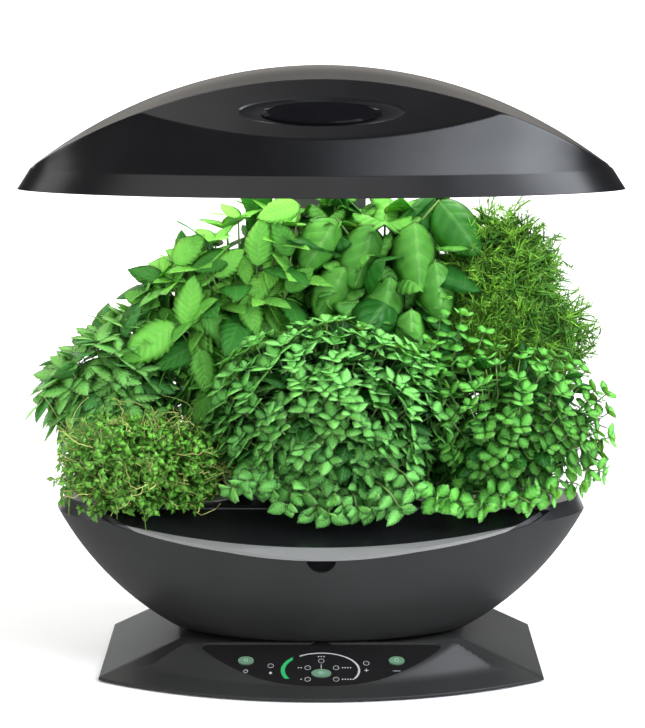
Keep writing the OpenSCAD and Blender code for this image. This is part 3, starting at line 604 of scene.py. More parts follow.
def hood_line(angle):
    """The hood's side line, from the middle of the ceiling down inside, round the rim and up outside."""
    end_wall, side_wall = 4.2, 3.6
    corners = hood_corners(angle)
    cuts = [0.5, 0.8, 8, 8, 10, 16, 16] if 0 < angle < pi else [0.5, 0.6, 6, 2.0, 1.4, 14, 14]
    inside = []
    for level, (x, y, z) in enumerate(corners):
        drop = (1, 1, 2, 3.3, 3.3, 3.3, 3.3, 3.3)[level]
        depth = copysign(max(abs(y) - side_wall, 0.2 * abs(y)), y)
        inside.append(Vector((x * (1 - end_wall / skirt_half), depth, z - drop)))
    rim_in = Vector((inside[0].x, inside[0].y, rim_z))
    rim = rounded([rim_in, corners[0], corners[1]], cuts[:1])[1:-1]
    return inside[:0:-1] + [rim_in] + rim + rounded(corners, cuts[1:])[1:]


hood = ring_skin("hood_moulding", [hood_line(angle) for angle in ROUND])

for i in range(9):
    slot_at = Matrix.Translation((9 * (i - 4), 61, 0))
    cut_with(hood, prism("slot_cutter", box_outline(4, 26), slot_at, 350, 420))


def oval(half_width, half_height, count=96):
    return [(half_width * cos(2 * pi * i / count), half_height * sin(2 * pi * i / count))
            for i in range(count)]


badge_y = -43
on_facet = (Matrix.Translation((0, badge_y, facet_z + (badge_y - facet_y) / facet_run))
            @ Matrix.Rotation(atan(1 / facet_run), 4, "X"))
for top, (wide, high), low, (floor_wide, floor_high) in (
        (1.0, (54.8, 16.2), -0.7, (52.4, 13.8)),
        (-0.69, (52.5, 13.9), -1.8, (39.3, 11.9))):
    dish = prism("dish_cutter", oval(wide, high), on_facet, low, top)
    for vertex in dish.data.vertices:
        here = on_facet.inverted() @ Vector((vertex.co.x * 1000, (vertex.co.y - TIPS_Y) * 1000, vertex.co.z * 1000))
        if here.z < (low + top) / 2:
            floor = Vector((here.x * floor_wide / wide, here.y * floor_high / high, here.z))
            vertex.co = at_tips(*(on_facet @ floor))
    cut_with(hood, dish)

gloss_black, gloss_shader, on_hood = new_finish("gloss_black_abs", (0.006, 0.006, 0.007), 0.3,
                                                Specular_IOR_Level=0.0, Coat_Roughness=0.26)
haze = on_hood.noise(26, 4)
pits = on_hood.noise(1400, 2)
on_hood.feed(gloss_shader, {
    "Base Color": haze.between(0.3, 0.75).tint((0.0024, 0.0024, 0.0029), (0.0044, 0.0044, 0.0053)),
    "Coat Weight": haze * 0.06 + 0.5,
    "Roughness": haze * 0.08 + on_hood.noise(300, 5) * 0.05 + 0.25,
    "Normal": pits.bump(0.012, 0.5)})
stand_for(hood, "lamp_hood", "hood_shell", gloss_black, 24)

# The badge is a bare oval of black acrylic, glued in its dish.
dress(plain_finish("black_acrylic", (0.003, 0.003, 0.004), 0.06, (80,), (0.002, 0.002, 0.003),
                   (0.005, 0.005, 0.006), (220, 3), 0.05, 0.05, Specular_IOR_Level=0.08), "hood_badge")


# ---- Lamps
# Two compact fluorescent lamps lie side by side under a white folded reflector. Each has a white base with the
# ballast's screw cap, and four glass tubes; the caps turn into sockets on a white block.
white_sheet, sheet_shader, on_sheet = new_finish("white_enamel_sheet", (0.8, 0.8, 0.79), 0.3)
on_sheet.feed(sheet_shader, {
    "Base Color": on_sheet.noise(18).tint((0.76, 0.76, 0.75), (0.84, 0.84, 0.83)),
    "Roughness": on_sheet.noise(400) * 0.15 + 0.25,
    "Normal": on_sheet.noise(260, 2).bump(0.04, 0.3)})
dress(white_sheet, "reflector")
dress(white_plastic, "socket_block", "lamp_sockets", "lamp_bases")

dress(plain_finish("nickel_screw_cap", (0.62, 0.58, 0.48), 0.25, (150,), (0.55, 0.51, 0.42), (0.70, 0.66, 0.56),
                   (500,), 0.2, 0.18, Metallic=1.0), "lamp_caps")

dress(plain_finish("coated_lamp_glass", (0.86, 0.87, 0.84), 0.2, (60,), (0.82, 0.83, 0.80), (0.9, 0.91, 0.88),
                   (300,), 0.1, 0.15, Emission_Color=(1.0, 0.97, 0.88, 1), Emission_Strength=0.5), "lamp_tubes")


# ---- Water bowl
# The bowl is a boat-shaped moulding in graphite ABS with a fine spark-eroded grain. Its front rim is cut back for
# the fill door, and a finger scoop is pressed into it under the door's lip.
bowl_foot, bowl_rim, bowl_wall = 28.4, 107.7, 2.6
side_radius, side_centre_z = 199, 200.9  # the bowl's side is an arc of this radius
back_share, front_share = 0.477, 0.528  # of the half width
scoop_radius, scoop_wall = 9.8, 3


def hull_x(z):
    return sqrt(side_radius ** 2 - (side_centre_z - z) ** 2)


def hull_ring(angle, half, wall, z):
    depth = (back_share if 0 < angle < pi else front_share) * half - wall
    return Vector(((half - wall) * cos(angle), copysign(depth * plump(angle), sin(angle)), z))


def hull_side(angle, floor, wall, steps=14):
    return [hull_ring(angle, hull_x(z), wall, z) for z in np.linspace(floor, bowl_rim, steps)]


def bowl_line(angle):
    outside, inside = hull_side(angle, bowl_foot, 0), hull_side(angle, 31.0, bowl_wall)
    middle = Vector((outside[0].x * 0.98, 0, bowl_foot))
    foot = rounded([middle, outside[0], outside[1]], [3.0])[1:-1]
    return [Vector((inside[0].x, 0, 31.0))] + inside + outside[:0:-1] + foot[::-1] + [middle]


def full_line(angle):
    side = hull_side(angle, bowl_foot, 0)
    return [Vector((side[0].x, 0, bowl_foot))] + side + [Vector((side[-1].x, 0, bowl_rim))]


lip_y, lip_z, lip_end_y, lip_end_z, deck_top = -82, 98.1, -102, 81.3, 117


def above_door(drop, start=-40.0):
    """Side outline, in Y and Z, of all that is above the door's underside."""
    back = [(start, deck_top - drop)] if start > -40 else []
    front = [(lip_end_y, 200), (lip_end_y, lip_end_z - drop), (lip_y, lip_z - drop)]
    return [(start, 200)] + front + [(-40, deck_top - drop)] + back


looking_x = Matrix(((0, 0, 1, 0), (1, 0, 0, 0), (0, 1, 0, 0), (0, 0, 0, 1)))
looking_y = Matrix(((1, 0, 0, 0), (0, 0, 1, 0), (0, 1, 0, 0), (0, 0, 0, 1)))


def raised(outline, height):
    return [(x, y + height) for x, y in outline]


bowl = ring_skin("bowl_moulding", [bowl_line(angle) for angle in ROUND])
boss = prism("scoop_boss", raised(oval(scoop_radius + scoop_wall, scoop_radius + scoop_wall, 48), scoop_z), looking_y,
             -100, -77)
cut_with(boss, ring_skin("hull_copy", [full_line(angle) for angle in ROUND]), "INTERSECT")
cut_with(bowl, boss, "UNION")
cut_with(bowl, prism("door_cutter", above_door(3.3), looking_x, -210, 210))
cut_with(bowl, prism("scoop_cutter", raised(oval(scoop_radius, scoop_radius, 48), scoop_z), looking_y, -110, -81.5))
cut_with(bowl, prism("plug_cutter", raised(box_outline(28, 11), 39), looking_y, 45, 90))
stand_for(bowl, "water_bowl", "bowl", graphite, 28)

# In it: the pump with its foam filter, the riser tube to the deck, the plug at the back, and the level float.
dress(dark_plastic, "pump_body", "pump_cover", "bowl_plug")
dress(white_plastic, "pump_impeller")


def porous_finish(name, colour, roughness, pores, low, high, dark, light, vary, least, bump):
    """A finish whose pores or fibres set its shade, its roughness and its surface together."""
    material, shader, place = new_finish(name, colour, roughness)
    open_pores = place.noise(*pores)
    place.feed(shader, {"Base Color": open_pores.between(low, high).tint(dark, light),
                        "Roughness": open_pores * vary + least, "Normal": open_pores.bump(*bump)})
    return material


dress(porous_finish("filter_foam", (0.03, 0.03, 0.033), 0.9, (1200, 4, 0.7), 0.35, 0.65, (0.01, 0.01, 0.012),
                    (0.05, 0.05, 0.055), 0.1, 0.85, (0.5, 1.0)), "pump_filter")

dress(plain_finish("clear_vinyl", (0.42, 0.50, 0.52), 0.2, (200,), (0.36, 0.44, 0.46), (0.50, 0.57, 0.58), (300,),
                   0.15, 0.12), "riser_tube", "float_guide")

dress(plain_finish("orange_float", (0.60, 0.18, 0.03), 0.4, (120,), (0.52, 0.15, 0.025), (0.68, 0.22, 0.04), (600,),
                   0.2, 0.3), "water_float")


# ---- Grow deck
# A cover moulded in black ABS lies on the bowl's rim. It has a bevelled edge, seven round pod holes and, at the
# front, an apron that the fill door meets.
deck_half = 171.5


def deck_line(angle):
    low, low_in = [hull_ring(angle, hull_x(bowl_rim), wall, bowl_rim) for wall in (0, bowl_wall)]
    high, high_in = hull_ring(angle, deck_half, 0, deck_top), hull_ring(angle, deck_half, bowl_wall, 114.4)
    edge = rounded([low, high, Vector((high.x, 0, deck_top))], [1.2])
    return [Vector((high_in.x, 0, 114.4)), high_in, low_in] + edge


deck = ring_skin("deck_moulding", [deck_line(angle) for angle in ROUND])
cut_with(deck, prism("door_cutter", above_door(3.3, -39.7), looking_x, -210, 210))
pods = [(-112, 18), (-40, 38), (40, 38), (112, 18), (-76, -16), (0, -16), (76, -16)]
for x, y in pods:
    cut_with(deck, prism("pod_cutter", oval(17, 17, 64), Matrix.Translation((x, y, 0)), 100, 130))
cut_with(deck, prism("apron", raised(box_outline(276, 12), 110), looking_y, -39.7, -37.7), "UNION")

deck_black = plain_finish("deck_black_abs", (0.008, 0.008, 0.010), 0.3, (20,), (0.006, 0.006, 0.0075),
                          (0.011, 0.011, 0.013), (2200, 2), 0.1, 0.24, (0.015, 0.4))
stand_for(deck, "water_bowl", "grow_deck", deck_black, 30)


# ---- Fill door
# A flap of the same black ABS slopes over the bowl's front. It hangs on two moulded stubs that turn in the deck, and
# its front edge folds down to a steeper lip, painted light grey as a painted highlight of the light it catches.
def whole_line(angle):
    side, top = hull_side(angle, 60, 0, 10), hull_ring(angle, deck_half, 0, deck_top)
    return [Vector((side[0].x, 0, 60))] + side + [top, Vector((top.x, 0, deck_top))]


door = ring_skin("door_moulding", [whole_line(angle) for angle in ROUND])
hinge_y, hinge_z, thick = -42, 115.1, 3
flap = [(hinge_y, 116.1), (lip_y, lip_z), (lip_end_y, lip_end_z), (lip_end_y, lip_end_z - thick),
        (lip_y, lip_z - thick), (hinge_y, 113.5)]
cut_with(door, prism("flap_band", flap, looking_x, -200, 200), "INTERSECT")
for side in (-1, 1):
    cut_with(door, prism("ear_cutter", box_outline(20, 8), Matrix.Translation((side * 148, hinge_y, 0)), 105, 125))
for name, radius, sides, half in (("door_barrel", 1.9, 24, 138), ("door_stub", 1.0, 16, 142)):
    rod = [(x + hinge_y, y + hinge_z) for x, y in oval(radius, radius, sides)]
    cut_with(door, prism(name, rod, looking_x, -half, half), "UNION")

door_black, door_shader, on_door = new_finish("door_black_abs", (0.008, 0.008, 0.010), 0.3)
# Painted highlight: past a curved fold line the lip is painted light grey, for the light it reflects from the lamps
# above.
off_axis = on_door.part("X") * 1000
past_fold = on_door.part("Y") * 1000 - off_axis * off_axis * 0.00137 - (lip_y + TIPS_Y * 1000)
painted_lip_highlight = 1 - past_fold.between(-0.25, 0.25)
door_grain = on_door.noise(2200, 2)
on_door.feed(door_shader, {
    "Base Color": painted_lip_highlight.tint((0.0075, 0.0075, 0.009), (0.19, 0.188, 0.184)),
    "Roughness": door_grain * 0.1 + painted_lip_highlight * 0.1 + 0.24,
    "Normal": door_grain.bump(0.015, 0.4)})
stand_for(door, "fill_door_body", "fill_door", door_black, 20)


# ---- Seed pods
# A moulded basket of open ribs hangs in each hole by its flange. It holds a sponge of pressed brown peat, and a
# round card label lies on top.
dress(plain_finish("basket_plastic", (0.02, 0.02, 0.021), 0.45, (70,), (0.015, 0.015, 0.016), (0.028, 0.028, 0.029),
                   (900,), 0.2, 0.35), "grow_baskets")

dress(porous_finish("peat_sponge", (0.10, 0.055, 0.03), 0.95, (900, 5, 0.7), 0.3, 0.7, (0.03, 0.016, 0.009),
                    (0.17, 0.10, 0.055), 0.1, 0.88, (0.6, 1.0)), "rooting_sponges")

dress(porous_finish("card_label", (0.75, 0.73, 0.66), 0.7, (1600, 4), 0.3, 0.7, (0.68, 0.66, 0.59),
                    (0.80, 0.78, 0.72), 0.15, 0.65, (0.03, 0.5)), "pod_labels")


# ---- Herbs
# Seven live herbs root in the pods. Each is one mesh of thin green stems and leaves. A herb's leaves are copies of
# its own blade, with their upper sides turned out and up to the lamps, and the ones that lean over the fill door
# are a piece of their own.
def blade(width, fold, droop, cup, wide_at=0.42, full=0.8, across=2, along=4, teeth=0.0):
    """A grid primitive shaped as a leaf of unit length, closed by an underside that shares its edge."""
    bpy.ops.mesh.primitive_grid_add(x_subdivisions=across, y_subdivisions=along, size=2)
    grid = bpy.context.object
    points, uvs = [], []
    for vertex in grid.data.vertices:
        side, run = vertex.co.x, (vertex.co.y + 1) / 2
        bent = run ** (log(0.5) / log(wide_at))
        half = width / 2 * sin(pi * min(max(bent, 0.004), 0.996)) ** full
        half *= 1 - teeth * (round(run * along) % 2) * abs(side)
        points.append((side * half, run, fold * abs(side) * half - cup * half * side * side - droop * run * run))
        uvs.append(((side + 1) / 2, run))
    top = [tuple(face.vertices) for face in grid.data.polygons]
    bpy.data.objects.remove(grid)
    inner = [i for i, (u, v) in enumerate(uvs) if 0.01 < u < 0.99 and 0.01 < v < 0.99]
    under = {i: len(points) + k for k, i in enumerate(inner)}
    lower = [tuple(under.get(i, i) for i in face)[::-1] for face in top]
    points += [(points[i][0], points[i][1], points[i][2] - 0.012) for i in inner]
    return np.array(points), top + lower, uvs + [uvs[i] for i in inner]


def unit(vector):
    return Vector(vector).normalized()


def sideways(run):
    """Gives for an angle the direction that stands across a run."""
    first = unit(run.orthogonal())
    second = run.cross(first)
    return lambda angle: first * cos(angle) + second * sin(angle)


def stretched(out, radii):
    return Vector((radii[0] * out.x, radii[1] * out.y, radii[2] * out.z))


class Herb:
    """Gathers stems and leaves, in millimetres from the plane of the tips, and makes them into one mesh."""

    def __init__(self, name, seed, pod, over_flap=False):
        self.name, self.dice, self.root = name, np.random.default_rng(seed), Vector((*pods[pod], 118))
        self.folds = Herb(name + "_fringe", seed, pod) if over_flap else None
        self.points, self.faces, self.slots, self.uvs, self.tones, self.size = [], [], [], [], [], 0

    def take(self, points, faces, uvs, tone, slot):
        self.faces += [tuple(i + self.size for i in face) for face in faces]
        self.slots += [slot] * len(faces)
        self.points.append(np.asarray(points))
        self.uvs += uvs
        self.tones += [tone] * len(points)
        self.size += len(points)

    def leaf(self, shape, foot, along, up, length, tone):
        """One copy of the blade, from its foot along a direction, with its upper side turned towards up."""
        along = unit(along)
        side = unit(along.cross(Vector(up)))
        turned = np.array([side, along, side.cross(along)]) * length
        points = shape[0] @ turned + np.array(foot)
        home = self.folds if self.folds and over_door(points.mean(axis=0)) else self
        home.take(points, shape[1], shape[2], tone, 0)

    def stem(self, line, thick, thin, sides=4):
        """A tapered tube with closed ends along a line of points."""
        rings = []
        for i, point in enumerate(line):
            run = unit(line[min(i + 1, len(line) - 1)] - line[max(i - 1, 0)])
            aside = sideways(run)
            radius = mixed(thick, thin, i / (len(line) - 1))
            rings += [point + aside(2 * pi * k / sides) * radius for k in range(sides)]
        walls = [(i + k, i + (k + 1) % sides, i + sides + (k + 1) % sides, i + sides + k)
                 for i in range(0, len(rings) - sides, sides) for k in range(sides)]
        ends = [tuple(range(sides))[::-1], tuple(range(len(rings) - sides, len(rings)))]
        home = self.folds if self.folds and over_door(line[-1]) else self
        home.take(rings, walls + ends, [(0.5, 0.5)] * len(rings), self.dice.random(), 1)

    def grow(self, leaf_material, stem_material):
        mesh = bpy.data.meshes.new(self.name)
        points = np.concatenate(self.points) / 1000 + np.array([0, TIPS_Y, 0])
        mesh.from_pydata(points.tolist(), [], self.faces)
        mesh.materials.append(leaf_material)
        mesh.materials.append(stem_material)
        mesh.polygons.foreach_set("material_index", self.slots)
        mesh.polygons.foreach_set("use_smooth", [True] * len(self.faces))
        tone = mesh.attributes.new("tone", "FLOAT", "POINT")
        tone.data.foreach_set("value", self.tones)
        corners = np.array([loop.vertex_index for loop in mesh.loops])
        layer = mesh.uv_layers.new(name="leaf")
        layer.data.foreach_set("uv", np.array(self.uvs)[corners].ravel())
        piece = bpy.data.objects.new(self.name, mesh)
        bpy.context.scene.collection.objects.link(piece)
        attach(piece, "water_bowl")
        return piece


def over_door(point):
    door_back, low_leaf = -40, 127
    return point[1] < door_back and point[2] < low_leaf - (point[1] - door_back) * 0.6


def curve(start, bend, end, count=6):
    return [start * (1 - t) ** 2 + bend * 2 * t * (1 - t) + end * t * t for t in np.linspace(0, 1, count + 1)]


def around(dice, count):
    """Directions spread evenly over a sphere, each with a little chance in it."""
    golden_turn = 2.39996
    for i in range(count):
        height = 1 - 2 * (i + 0.5) / count
        turn = i * golden_turn + dice.normal(0, 0.12)
        level = sqrt(1 - height * height)
        yield Vector((level * cos(turn), level * sin(turn), height))


def shoot(herb, line, shape, pairs, length, out, spread=0.9, top=4, tone=0.5, step=0.09, face=0.5, droop=0.15):
    """A stem with pairs of leaves on its last stretch, each pair turned from the one below, and a rosette on top."""
    dice = herb.dice
    last = len(line) - 1
    turn = dice.uniform(0, pi)
    for level in range(pairs):
        place = (1 - step * (pairs - level)) * last
        foot = line[int(place)].lerp(line[min(int(place) + 1, last)], place - int(place))
        run = unit(line[min(int(place) + 1, last)] - line[int(place)])
        aside = sideways(run)
        turn += pi / 2 + dice.normal(0, 0.25)
        for k in (0, pi):
            grow_out = aside(turn + k) + run * (1 - spread) + Vector((0, 0, -droop)) + Vector(dice.normal(0, 0.15, 3))
            upper = run * (1 - face) + out * face + Vector((0, 0, 1 - face * 0.8))
            size = length * (1.05 - 0.35 * level / max(pairs, 1)) * dice.uniform(0.85, 1.15)
            herb.leaf(shape, foot, grow_out, upper, size, tone + dice.normal(0, 0.12) + 0.06 * level)
    run = unit(line[-1] - line[-2])
    aside = sideways(run)
    for k in range(top):
        side = aside(turn + k * 2 * pi / top + dice.normal(0, 0.2))
        size = length * dice.uniform(0.5, 0.85)
        herb.leaf(shape, line[-1], side + run * 0.7, run + out * 0.4 + Vector((0, 0, 0.5)), size,
                  tone + 0.22 + dice.normal(0, 0.1))


def leaf_finish(name, dark, light, vein, roughness, vein_count, bump_mm):
    """A leaf's skin: its tone from dark to light, set on each leaf partly at random and partly as painted light and
    shade, a pale midrib, side veins, and a soft glow through the blade.
    """
    material, shader, on_leaf = new_finish(name, light, roughness, Subsurface_Weight=0.22, Subsurface_Scale=0.002,
                                           Specular_IOR_Level=0.16)
    shader.inputs["Subsurface Radius"].default_value = (0.6, 1.0, 0.2)
    tone = on_leaf.add("Attribute", {"attribute_name": "tone"}, {}, out="Fac")
    layout = on_leaf.add("UVMap", {"uv_map": "leaf"}, {})
    off_rib = abs(layout.part("X") - 0.5) * 2
    rib = 1 - off_rib.between(0.03, 0.14)
    phase = (layout.part("Y") - off_rib * 0.22) * (vein_count * 2 * pi)
    wave = phase.sine()
    veins = wave.between(0.75, 1.0) * (1 - off_rib * 0.6)
    patch = on_leaf.noise(90, 3)
    # Painted shade: the wave makes the tone a little lighter along the side veins and darker between them, as the
    # quilted blade would be shaded.
    shade = (tone + patch * 0.4 - 0.2 + wave * 0.03).between(0.0, 1.0)
    dim_vein = [mixed(low, high, 0.25) for low, high in zip(dark, vein)]
    pale = rib * 0.4 + veins * 0.11
    on_leaf.feed(shader, {
        "Base Color": pale.tint(shade.tint(dark, light), shade.tint(dim_vein, vein)),
        "Roughness": patch * 0.2 + (roughness - 0.1),
        "Normal": (wave * -0.5 + veins * -0.5 - rib).bump(bump_mm, 0.9)})
    return material


def stem_finish(name, dark, light):
    material, shader, on_stem = new_finish(name, light, 0.5, Subsurface_Weight=0.1, Subsurface_Scale=0.001)
    tone = on_stem.add("Attribute", {"attribute_name": "tone"}, {}, out="Fac")
    on_stem.feed(shader, {"Base Color": (tone + on_stem.noise(60) * 0.3 - 0.1).between(0, 1).tint(dark, light),
                          "Roughness": on_stem.noise(500) * 0.2 + 0.4})
    return material


def herb_piece(herb, node, leaf_material, stem_material):
    """The herb in the place of its node. What hangs over the door is a piece of its own."""
    piece = herb.grow(leaf_material, stem_material)
    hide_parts(node)
    if herb.folds and herb.folds.size:
        fringe = herb.folds.grow(leaf_material, stem_material)
        at_tips(0, -33, 0)
        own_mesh(fringe)
        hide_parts(node)


green_stem = stem_finish("green_stem", (0.06, 0.13, 0.025), (0.16, 0.28, 0.06))


def dome(herb, heart, radii, count, shape, length, pairs, stem=0.8, step=0.13, tone=0.35, top=4, lowest=-0.75,
         lift=0.3, floor=120, face=0.5, droop=0.15, slope=1000):
    """Shoots from the root to points spread over an ellipsoid round the heart, their leaves painted lighter towards the
    top and darker underneath as painted light and shade, and leaves further in painted near black as painted shade. The
    garden's left shoulder leans, so what grows past height - lean * x = slope is bent back under it."""
    dice, heart, lean, lowest_tip = herb.dice, Vector(heart), 0.9, 108
    for out in around(dice, count):
        if out.z < lowest:
            continue
        reach = stretched(out, radii) * dice.uniform(0.84, 1.04)
        tip = heart + reach
        if tip.z < floor + 4 and tip.y > -46:
            continue
        past = max(tip.z - lean * tip.x - slope, 0) / (1 + lean * lean)
        tip = Vector((tip.x + lean * past, tip.y, max(tip.z - past, lowest_tip)))
        line = curve(herb.root, heart + Vector((0, 0, -radii[2] * 0.5)) + reach * 0.3, tip)
        herb.stem(line, stem, stem * 0.55)
        # Painted light and shade: shoots that point up get a lighter tone, those that point down a darker one.
        shoot(herb, line, shape, pairs, length * (1.1 - 0.12 * out.z), unit(out), top=top, step=step,
              tone=tone + lift * max(out.z, 0) + 0.1 * min(out.z, 0), face=face, droop=droop)
    for out in around(dice, int(count * 0.8)):
        tip = heart + stretched(out, radii) * dice.uniform(0.5, 0.88)
        if tip.z > floor + 3 and tip.z - lean * tip.x < slope + 8:
            # Painted shade: the leaves further in get a near-black tone.
            herb.leaf(shape, tip, out + Vector(dice.normal(0, 0.4, 3)), out + Vector((0, 0, 0.8)), length * 1.2, 0.02)


# The bush in the middle has small pointed leaves, in rosettes all over a low dome.
bush = Herb("bush_basil", 7, 5, over_flap=True)
bush_blade = blade(0.68, 0.2, 0.25, 0.15)
bush_leaf = leaf_finish("bush_leaf", (0.010, 0.062, 0.010), (0.21, 0.70, 0.13), (0.28, 0.72, 0.18), 0.5, 7, 0.15)
dome(bush, (5, -36, 176), (77, 47, 60), 400, bush_blade, 15.5, 3, tone=0.3, lift=0.75, face=0.65)
for x in range(-58, 60, 9):
    away, lift = bush.dice.uniform(-86, -74), max(12 - x, 0) * 0.22 + max(x - 44, 0) * 0.8
    tip = Vector((x, away, 117 + lift + bush.dice.uniform(0, 10)))
    line = curve(Vector((0, -20, 122)), Vector((x * 0.7, tip.y + 14, tip.z + 30)), tip)
    bush.stem(line, 1.0, 0.6)
    shoot(bush, line, bush_blade, 4, 18, Vector((0, -1, 0.2)), tone=0.36, step=0.15, face=0.8, droop=0.5)
herb_piece(bush, "plant_bush", bush_leaf, green_stem)

# Mint, in front on the right, has round leaves in pairs on thin arching stems.
mint = Herb("mint", 11, 6, over_flap=True)
mint_blade = blade(0.82, 0.12, 0.15, 0.2, wide_at=0.5, full=0.62)
mint_leaf = leaf_finish("mint_leaf", (0.006, 0.05, 0.006), (0.15, 0.58, 0.075), (0.22, 0.64, 0.13), 0.5, 5, 0.15)
dome(mint, (126, -30, 168), (60, 41, 50), 130, mint_blade, 12.5, 4, tone=0.3, step=0.12,
     lift=0.4, face=0.65, lowest=-0.5)
# Painted shade: a small inner cluster gets a dark tone.
dome(mint, (82, -10, 164), (16, 22, 46), 26, mint_blade, 14, 3, tone=0.12, step=0.12)
for x, y, z in [(80, -20, 250), (92, -24, 240), (72, -30, 222), (106, -22, 228), (146, -24, 212), (164, -20, 208),
                (186, -26, 188), (188, -30, 160), (184, -34, 138), (168, -50, 132), (150, -60, 128), (134, -68, 124),
                (118, -72, 128), (104, -74, 122), (90, -76, 124), (76, -74, 126), (112, -50, 124), (92, -50, 124),
                (140, -48, 126)]:
    line = curve(Vector((80, -16, 118)), Vector((x - 8, y, mixed(118, z, 0.7) + 12)), Vector((x, y, z)), 8)
    mint.stem(line, 1.0, 0.5)
    shoot(mint, line, mint_blade, 6 if z > 140 else 3, 13, Vector((0, -1, 0)), tone=0.6, step=0.09)
herb_piece(mint, "plant_mint", mint_leaf, green_stem)

# Thyme, in front on the left, has tiny leaves on wiry stems that wind through one another.
thyme = Herb("thyme", 13, 4, over_flap=True)
dice = thyme.dice
thyme_blade = blade(0.66, 0.1, 0.1, 0.1, across=2, along=2)
thyme_leaf = leaf_finish("thyme_leaf", (0.008, 0.06, 0.004), (0.17, 0.56, 0.05), (0.26, 0.6, 0.1), 0.5, 3, 0.08)
wiry_stem = stem_finish("wiry_stem", (0.09, 0.17, 0.02), (0.50, 0.55, 0.15))
thyme_heart = Vector((-118, -34, 144))
for out in around(dice, 380):
    boxy = (abs(out.x) ** 3 + abs(out.y) ** 3 + abs(out.z) ** 3) ** (-1 / 3)
    tip = thyme_heart + stretched(out, (58, 43, 33)) * boxy * dice.uniform(0.8, 1.0)
    if out.z < -0.85 or (tip.z < 120 and tip.y > -46):
        continue
    line = curve(thyme.root, thyme_heart + Vector((10 * out.x, 0, -16)), tip, 12)
    for step in range(3, 13):
        line[step] += Vector(dice.normal(0, 2.6, 3))
    thyme.stem(line, 0.45, 0.3, sides=3)
    # Painted light and shade: leaves further out along a stem and on the clump's upper side get a lighter tone, those
    # underneath a darker one.
    for step in range(5, 13):
        for k in range(5):
            side = Vector(dice.normal(0, 1, 3))
            foot = line[step - 1].lerp(line[step], dice.random())
            thyme.leaf(thyme_blade, foot, side, unit(out) + Vector((0, -0.3, 0.8)), dice.uniform(4.6, 7.4),
                       0.3 + 0.04 * (step - 5) + 0.15 * out.z + dice.normal(0, 0.14))
    if out.y < 0.2 and tip.z > 124 and tip.x > -164 and dice.random() < 0.5:
        loose = curve(tip, tip + Vector(dice.normal(0, 7, 3)) + out * 6,
                      tip + Vector(dice.normal(0, 11, 3)) + out * 3, 7)
        thyme.stem([point + Vector(dice.normal(0, 0.9, 3)) for point in loose], 0.42, 0.28, sides=3)
herb_piece(thyme, "plant_thyme", thyme_leaf, wiry_stem)

# Behind stand the tall herbs. At the far left one with layers of middling leaves.
broad = Herb("broadleaf_herb", 17, 0)
broad_blade = blade(0.62, 0.15, 0.25, 0.15, across=2, along=8, teeth=0.1)
broad_leaf = leaf_finish("broad_leaf", (0.060, 0.23, 0.050), (0.27, 0.73, 0.15), (0.30, 0.72, 0.20), 0.45, 7, 0.2)
dome(broad, (-146, 36, 194), (46, 31, 50), 70, broad_blade, 25, 4, tone=0.42, step=0.12, stem=1.1, face=0.68, slope=351)
herb_piece(broad, "plant_broadleaf", broad_leaf, green_stem)

# Next to it one with long pointed leaves, painted bright green where the lamps reach them and darker further down, as
# painted light and shade.
pointed = Herb("pointed_herb", 19, 1)
pointed_blade = blade(0.56, 0.15, 0.3, 0.15, across=4, along=12, teeth=0.07)
wide_blade = blade(0.62, 0.25, 0.15, 0.25, across=4, along=12, teeth=0.06)
pointed_leaf = leaf_finish("pointed_leaf", (0.036, 0.19, 0.026), (0.24, 0.71, 0.10), (0.30, 0.72, 0.14), 0.45, 9, 0.25)
dome(pointed, (-56, 40, 250), (64, 33, 60), 44, pointed_blade, 35, 3, tone=0.45, step=0.16,
     stem=1.5, face=0.75, droop=0.3, slope=347)
dome(pointed, (-103, 38, 250), (24, 24, 18), 10, pointed_blade, 25, 3, tone=0.45, step=0.16,
     stem=1.2, face=0.7, droop=0.3, slope=350)
# Painted shade: the leaves of the lower dome get a dark tone.
dome(pointed, (-56, 38, 172), (48, 30, 46), 26, pointed_blade, 30, 3, tone=0.12, step=0.2, stem=1.2, lift=0.1)
for x, z, to_x, to_z, tone in [(-80, 214, -76, 184, 0.5), (-90, 227, -84, 262, 0.7), (-80, 237, -52, 220, 0.35),
                               (-50, 250, -42, 223, 0.6), (-43, 268, -38, 301, 0.55), (-14, 309, -42, 302, 0.8),
                               (-60, 276, -86, 268, 0.15), (-98, 270, -78, 290, 0.65), (-97, 230, -133, 206, 0.7),
                               (-72, 262, -52, 280, 0.6), (-24, 252, -6, 268, 0.4), (-20, 275, -30, 300, 0.3)]:
    foot, reach = Vector((x, 8, z)), Vector((to_x - x, -6, to_z - z))
    pointed.stem(curve(pointed.root, Vector((x * 0.8 - 8, 34, z - 20)), foot), 1.2, 0.6)
    pointed.leaf(wide_blade, foot, reach, Vector((0.15, -1, 0.35)), reach.length, tone)
herb_piece(pointed, "plant_pointed", pointed_leaf, green_stem)

# Basil, with large shiny leaves arched like spoons.
basil = Herb("sweet_basil", 23, 2)
basil_blade = blade(0.74, -0.05, 0.3, 0.8, full=0.6, across=6, along=12)
basil_leaf = leaf_finish("basil_leaf", (0.020, 0.13, 0.018), (0.17, 0.54, 0.08), (0.34, 0.68, 0.20), 0.32, 5, 0.5)
dome(basil, (42, 46, 262), (44, 28, 44), 20, basil_blade, 38, 2, tone=0.35, step=0.2, stem=2.0, face=0.8, droop=0.4)
# Painted shade: the lower and the smaller domes get a dark tone, as the shade under and among the big leaves.
dome(basil, (44, 40, 190), (42, 28, 44), 16, basil_blade, 30, 2, tone=0.12, step=0.2, stem=1.6, lift=0.1)
dome(basil, (2, 42, 286), (16, 16, 24), 9, basil_blade, 22, 3, tone=0.1, step=0.2, stem=1.4, lift=0.2)
dome(basil, (78, 38, 206), (18, 20, 30), 10, basil_blade, 24, 2, tone=0.08, step=0.2, stem=1.4, lift=0.1)
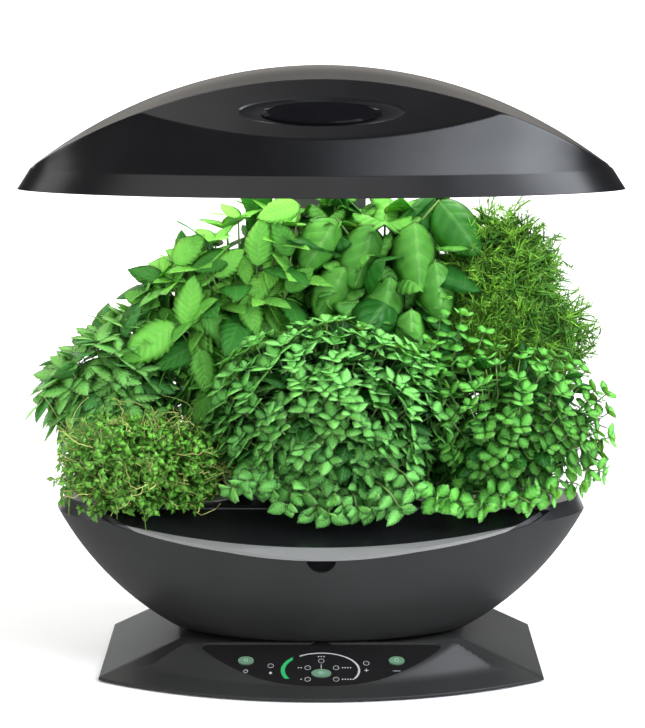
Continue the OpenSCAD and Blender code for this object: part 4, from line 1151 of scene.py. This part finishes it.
for x, z, lean, size in [(34, 296, -0.25, 44), (62, 298, 0.15, 46), (10, 300, -0.6, 40), (78, 312, 0.9, 44),
                         (46, 262, -0.1, 40), (76, 272, 0.2, 40), (16, 268, -0.5, 38), (60, 240, 0.1, 36)]:
    foot = Vector((x, 12, z))
    basil.stem(curve(basil.root, Vector((42, 40, z - 30)), foot), 1.6, 0.8)
    basil.leaf(basil_blade, foot, Vector((lean, -0.3, -1)), Vector((0.2, -1, 0.25)), size,
               0.2 + 0.5 * basil.dice.random())
herb_piece(basil, "plant_basil", basil_leaf, green_stem)

# Dill, with leaves cut into threads.
dill = Herb("dill", 29, 3)
dice = dill.dice
thread = (np.array([(-0.045, 0, -0.025), (0.045, 0, -0.025), (0, 0, 0.05), (0, 1, 0)]),
          [(0, 1, 3), (1, 2, 3), (2, 0, 3), (2, 1, 0)], [(0.5, 0), (0.5, 0), (0.5, 0), (0.5, 1)])
dill_leaf = leaf_finish("dill_leaf", (0.012, 0.08, 0.012), (0.26, 0.62, 0.055), (0.26, 0.62, 0.055), 0.5, 1, 0.05)
dill_stem = stem_finish("dill_stem", (0.04, 0.14, 0.02), (0.2, 0.42, 0.07))
for heart, radii, count in [(Vector((120, 40, 258)), (44, 32, 50), 96), (Vector((142, 40, 220)), (42, 32, 40), 56)]:
    for out in around(dice, count):
        if out.z < -0.7:
            continue
        reach = stretched(out, radii) * dice.uniform(0.75, 1.04)
        line = curve(dill.root, heart + Vector((0, 0, -30)) + reach * 0.2, heart + reach, 10)
        dill.stem(line, 0.7, 0.3, sides=3)
        for step in range(5, 11):
            run = unit(line[step] - line[step - 1])
            for k in range(4):
                side = unit(Vector(dice.normal(0, 1, 3)) + run * 0.5 + out * 0.4)
                foot = line[step - 1].lerp(line[step], dice.random())
                end = foot + side * dice.uniform(8, 15)
                dill.stem([foot, end], 0.35, 0.2, sides=3)
                # Painted light and shade: the threads get a lighter tone towards the top, the left and the ends of the
                # shoots, and a darker one elsewhere.
                for part in np.linspace(0.2, 1, 9):
                    along = side + Vector(dice.normal(0, 0.6, 3))
                    dill.leaf(thread, foot.lerp(end, part), along, Vector((0.1, -0.3, 1)), dice.uniform(6, 11),
                              0.42 + 0.25 * out.z - 0.25 * out.x + 0.1 * (step - 5) / 5 + dice.normal(0, 0.15))
    # Painted shade: a dense mass of threads with a dark tone fills the inside of each clump.
    for out in around(dice, count * 16):
        within = heart + stretched(out, radii) * dice.uniform(0.3, 0.85)
        dill.leaf(thread, within, Vector(dice.normal(0, 1, 3)), out, dice.uniform(16, 26), dice.uniform(-0.2, 0.25))
herb_piece(dill, "plant_dill", dill_leaf, dill_stem)
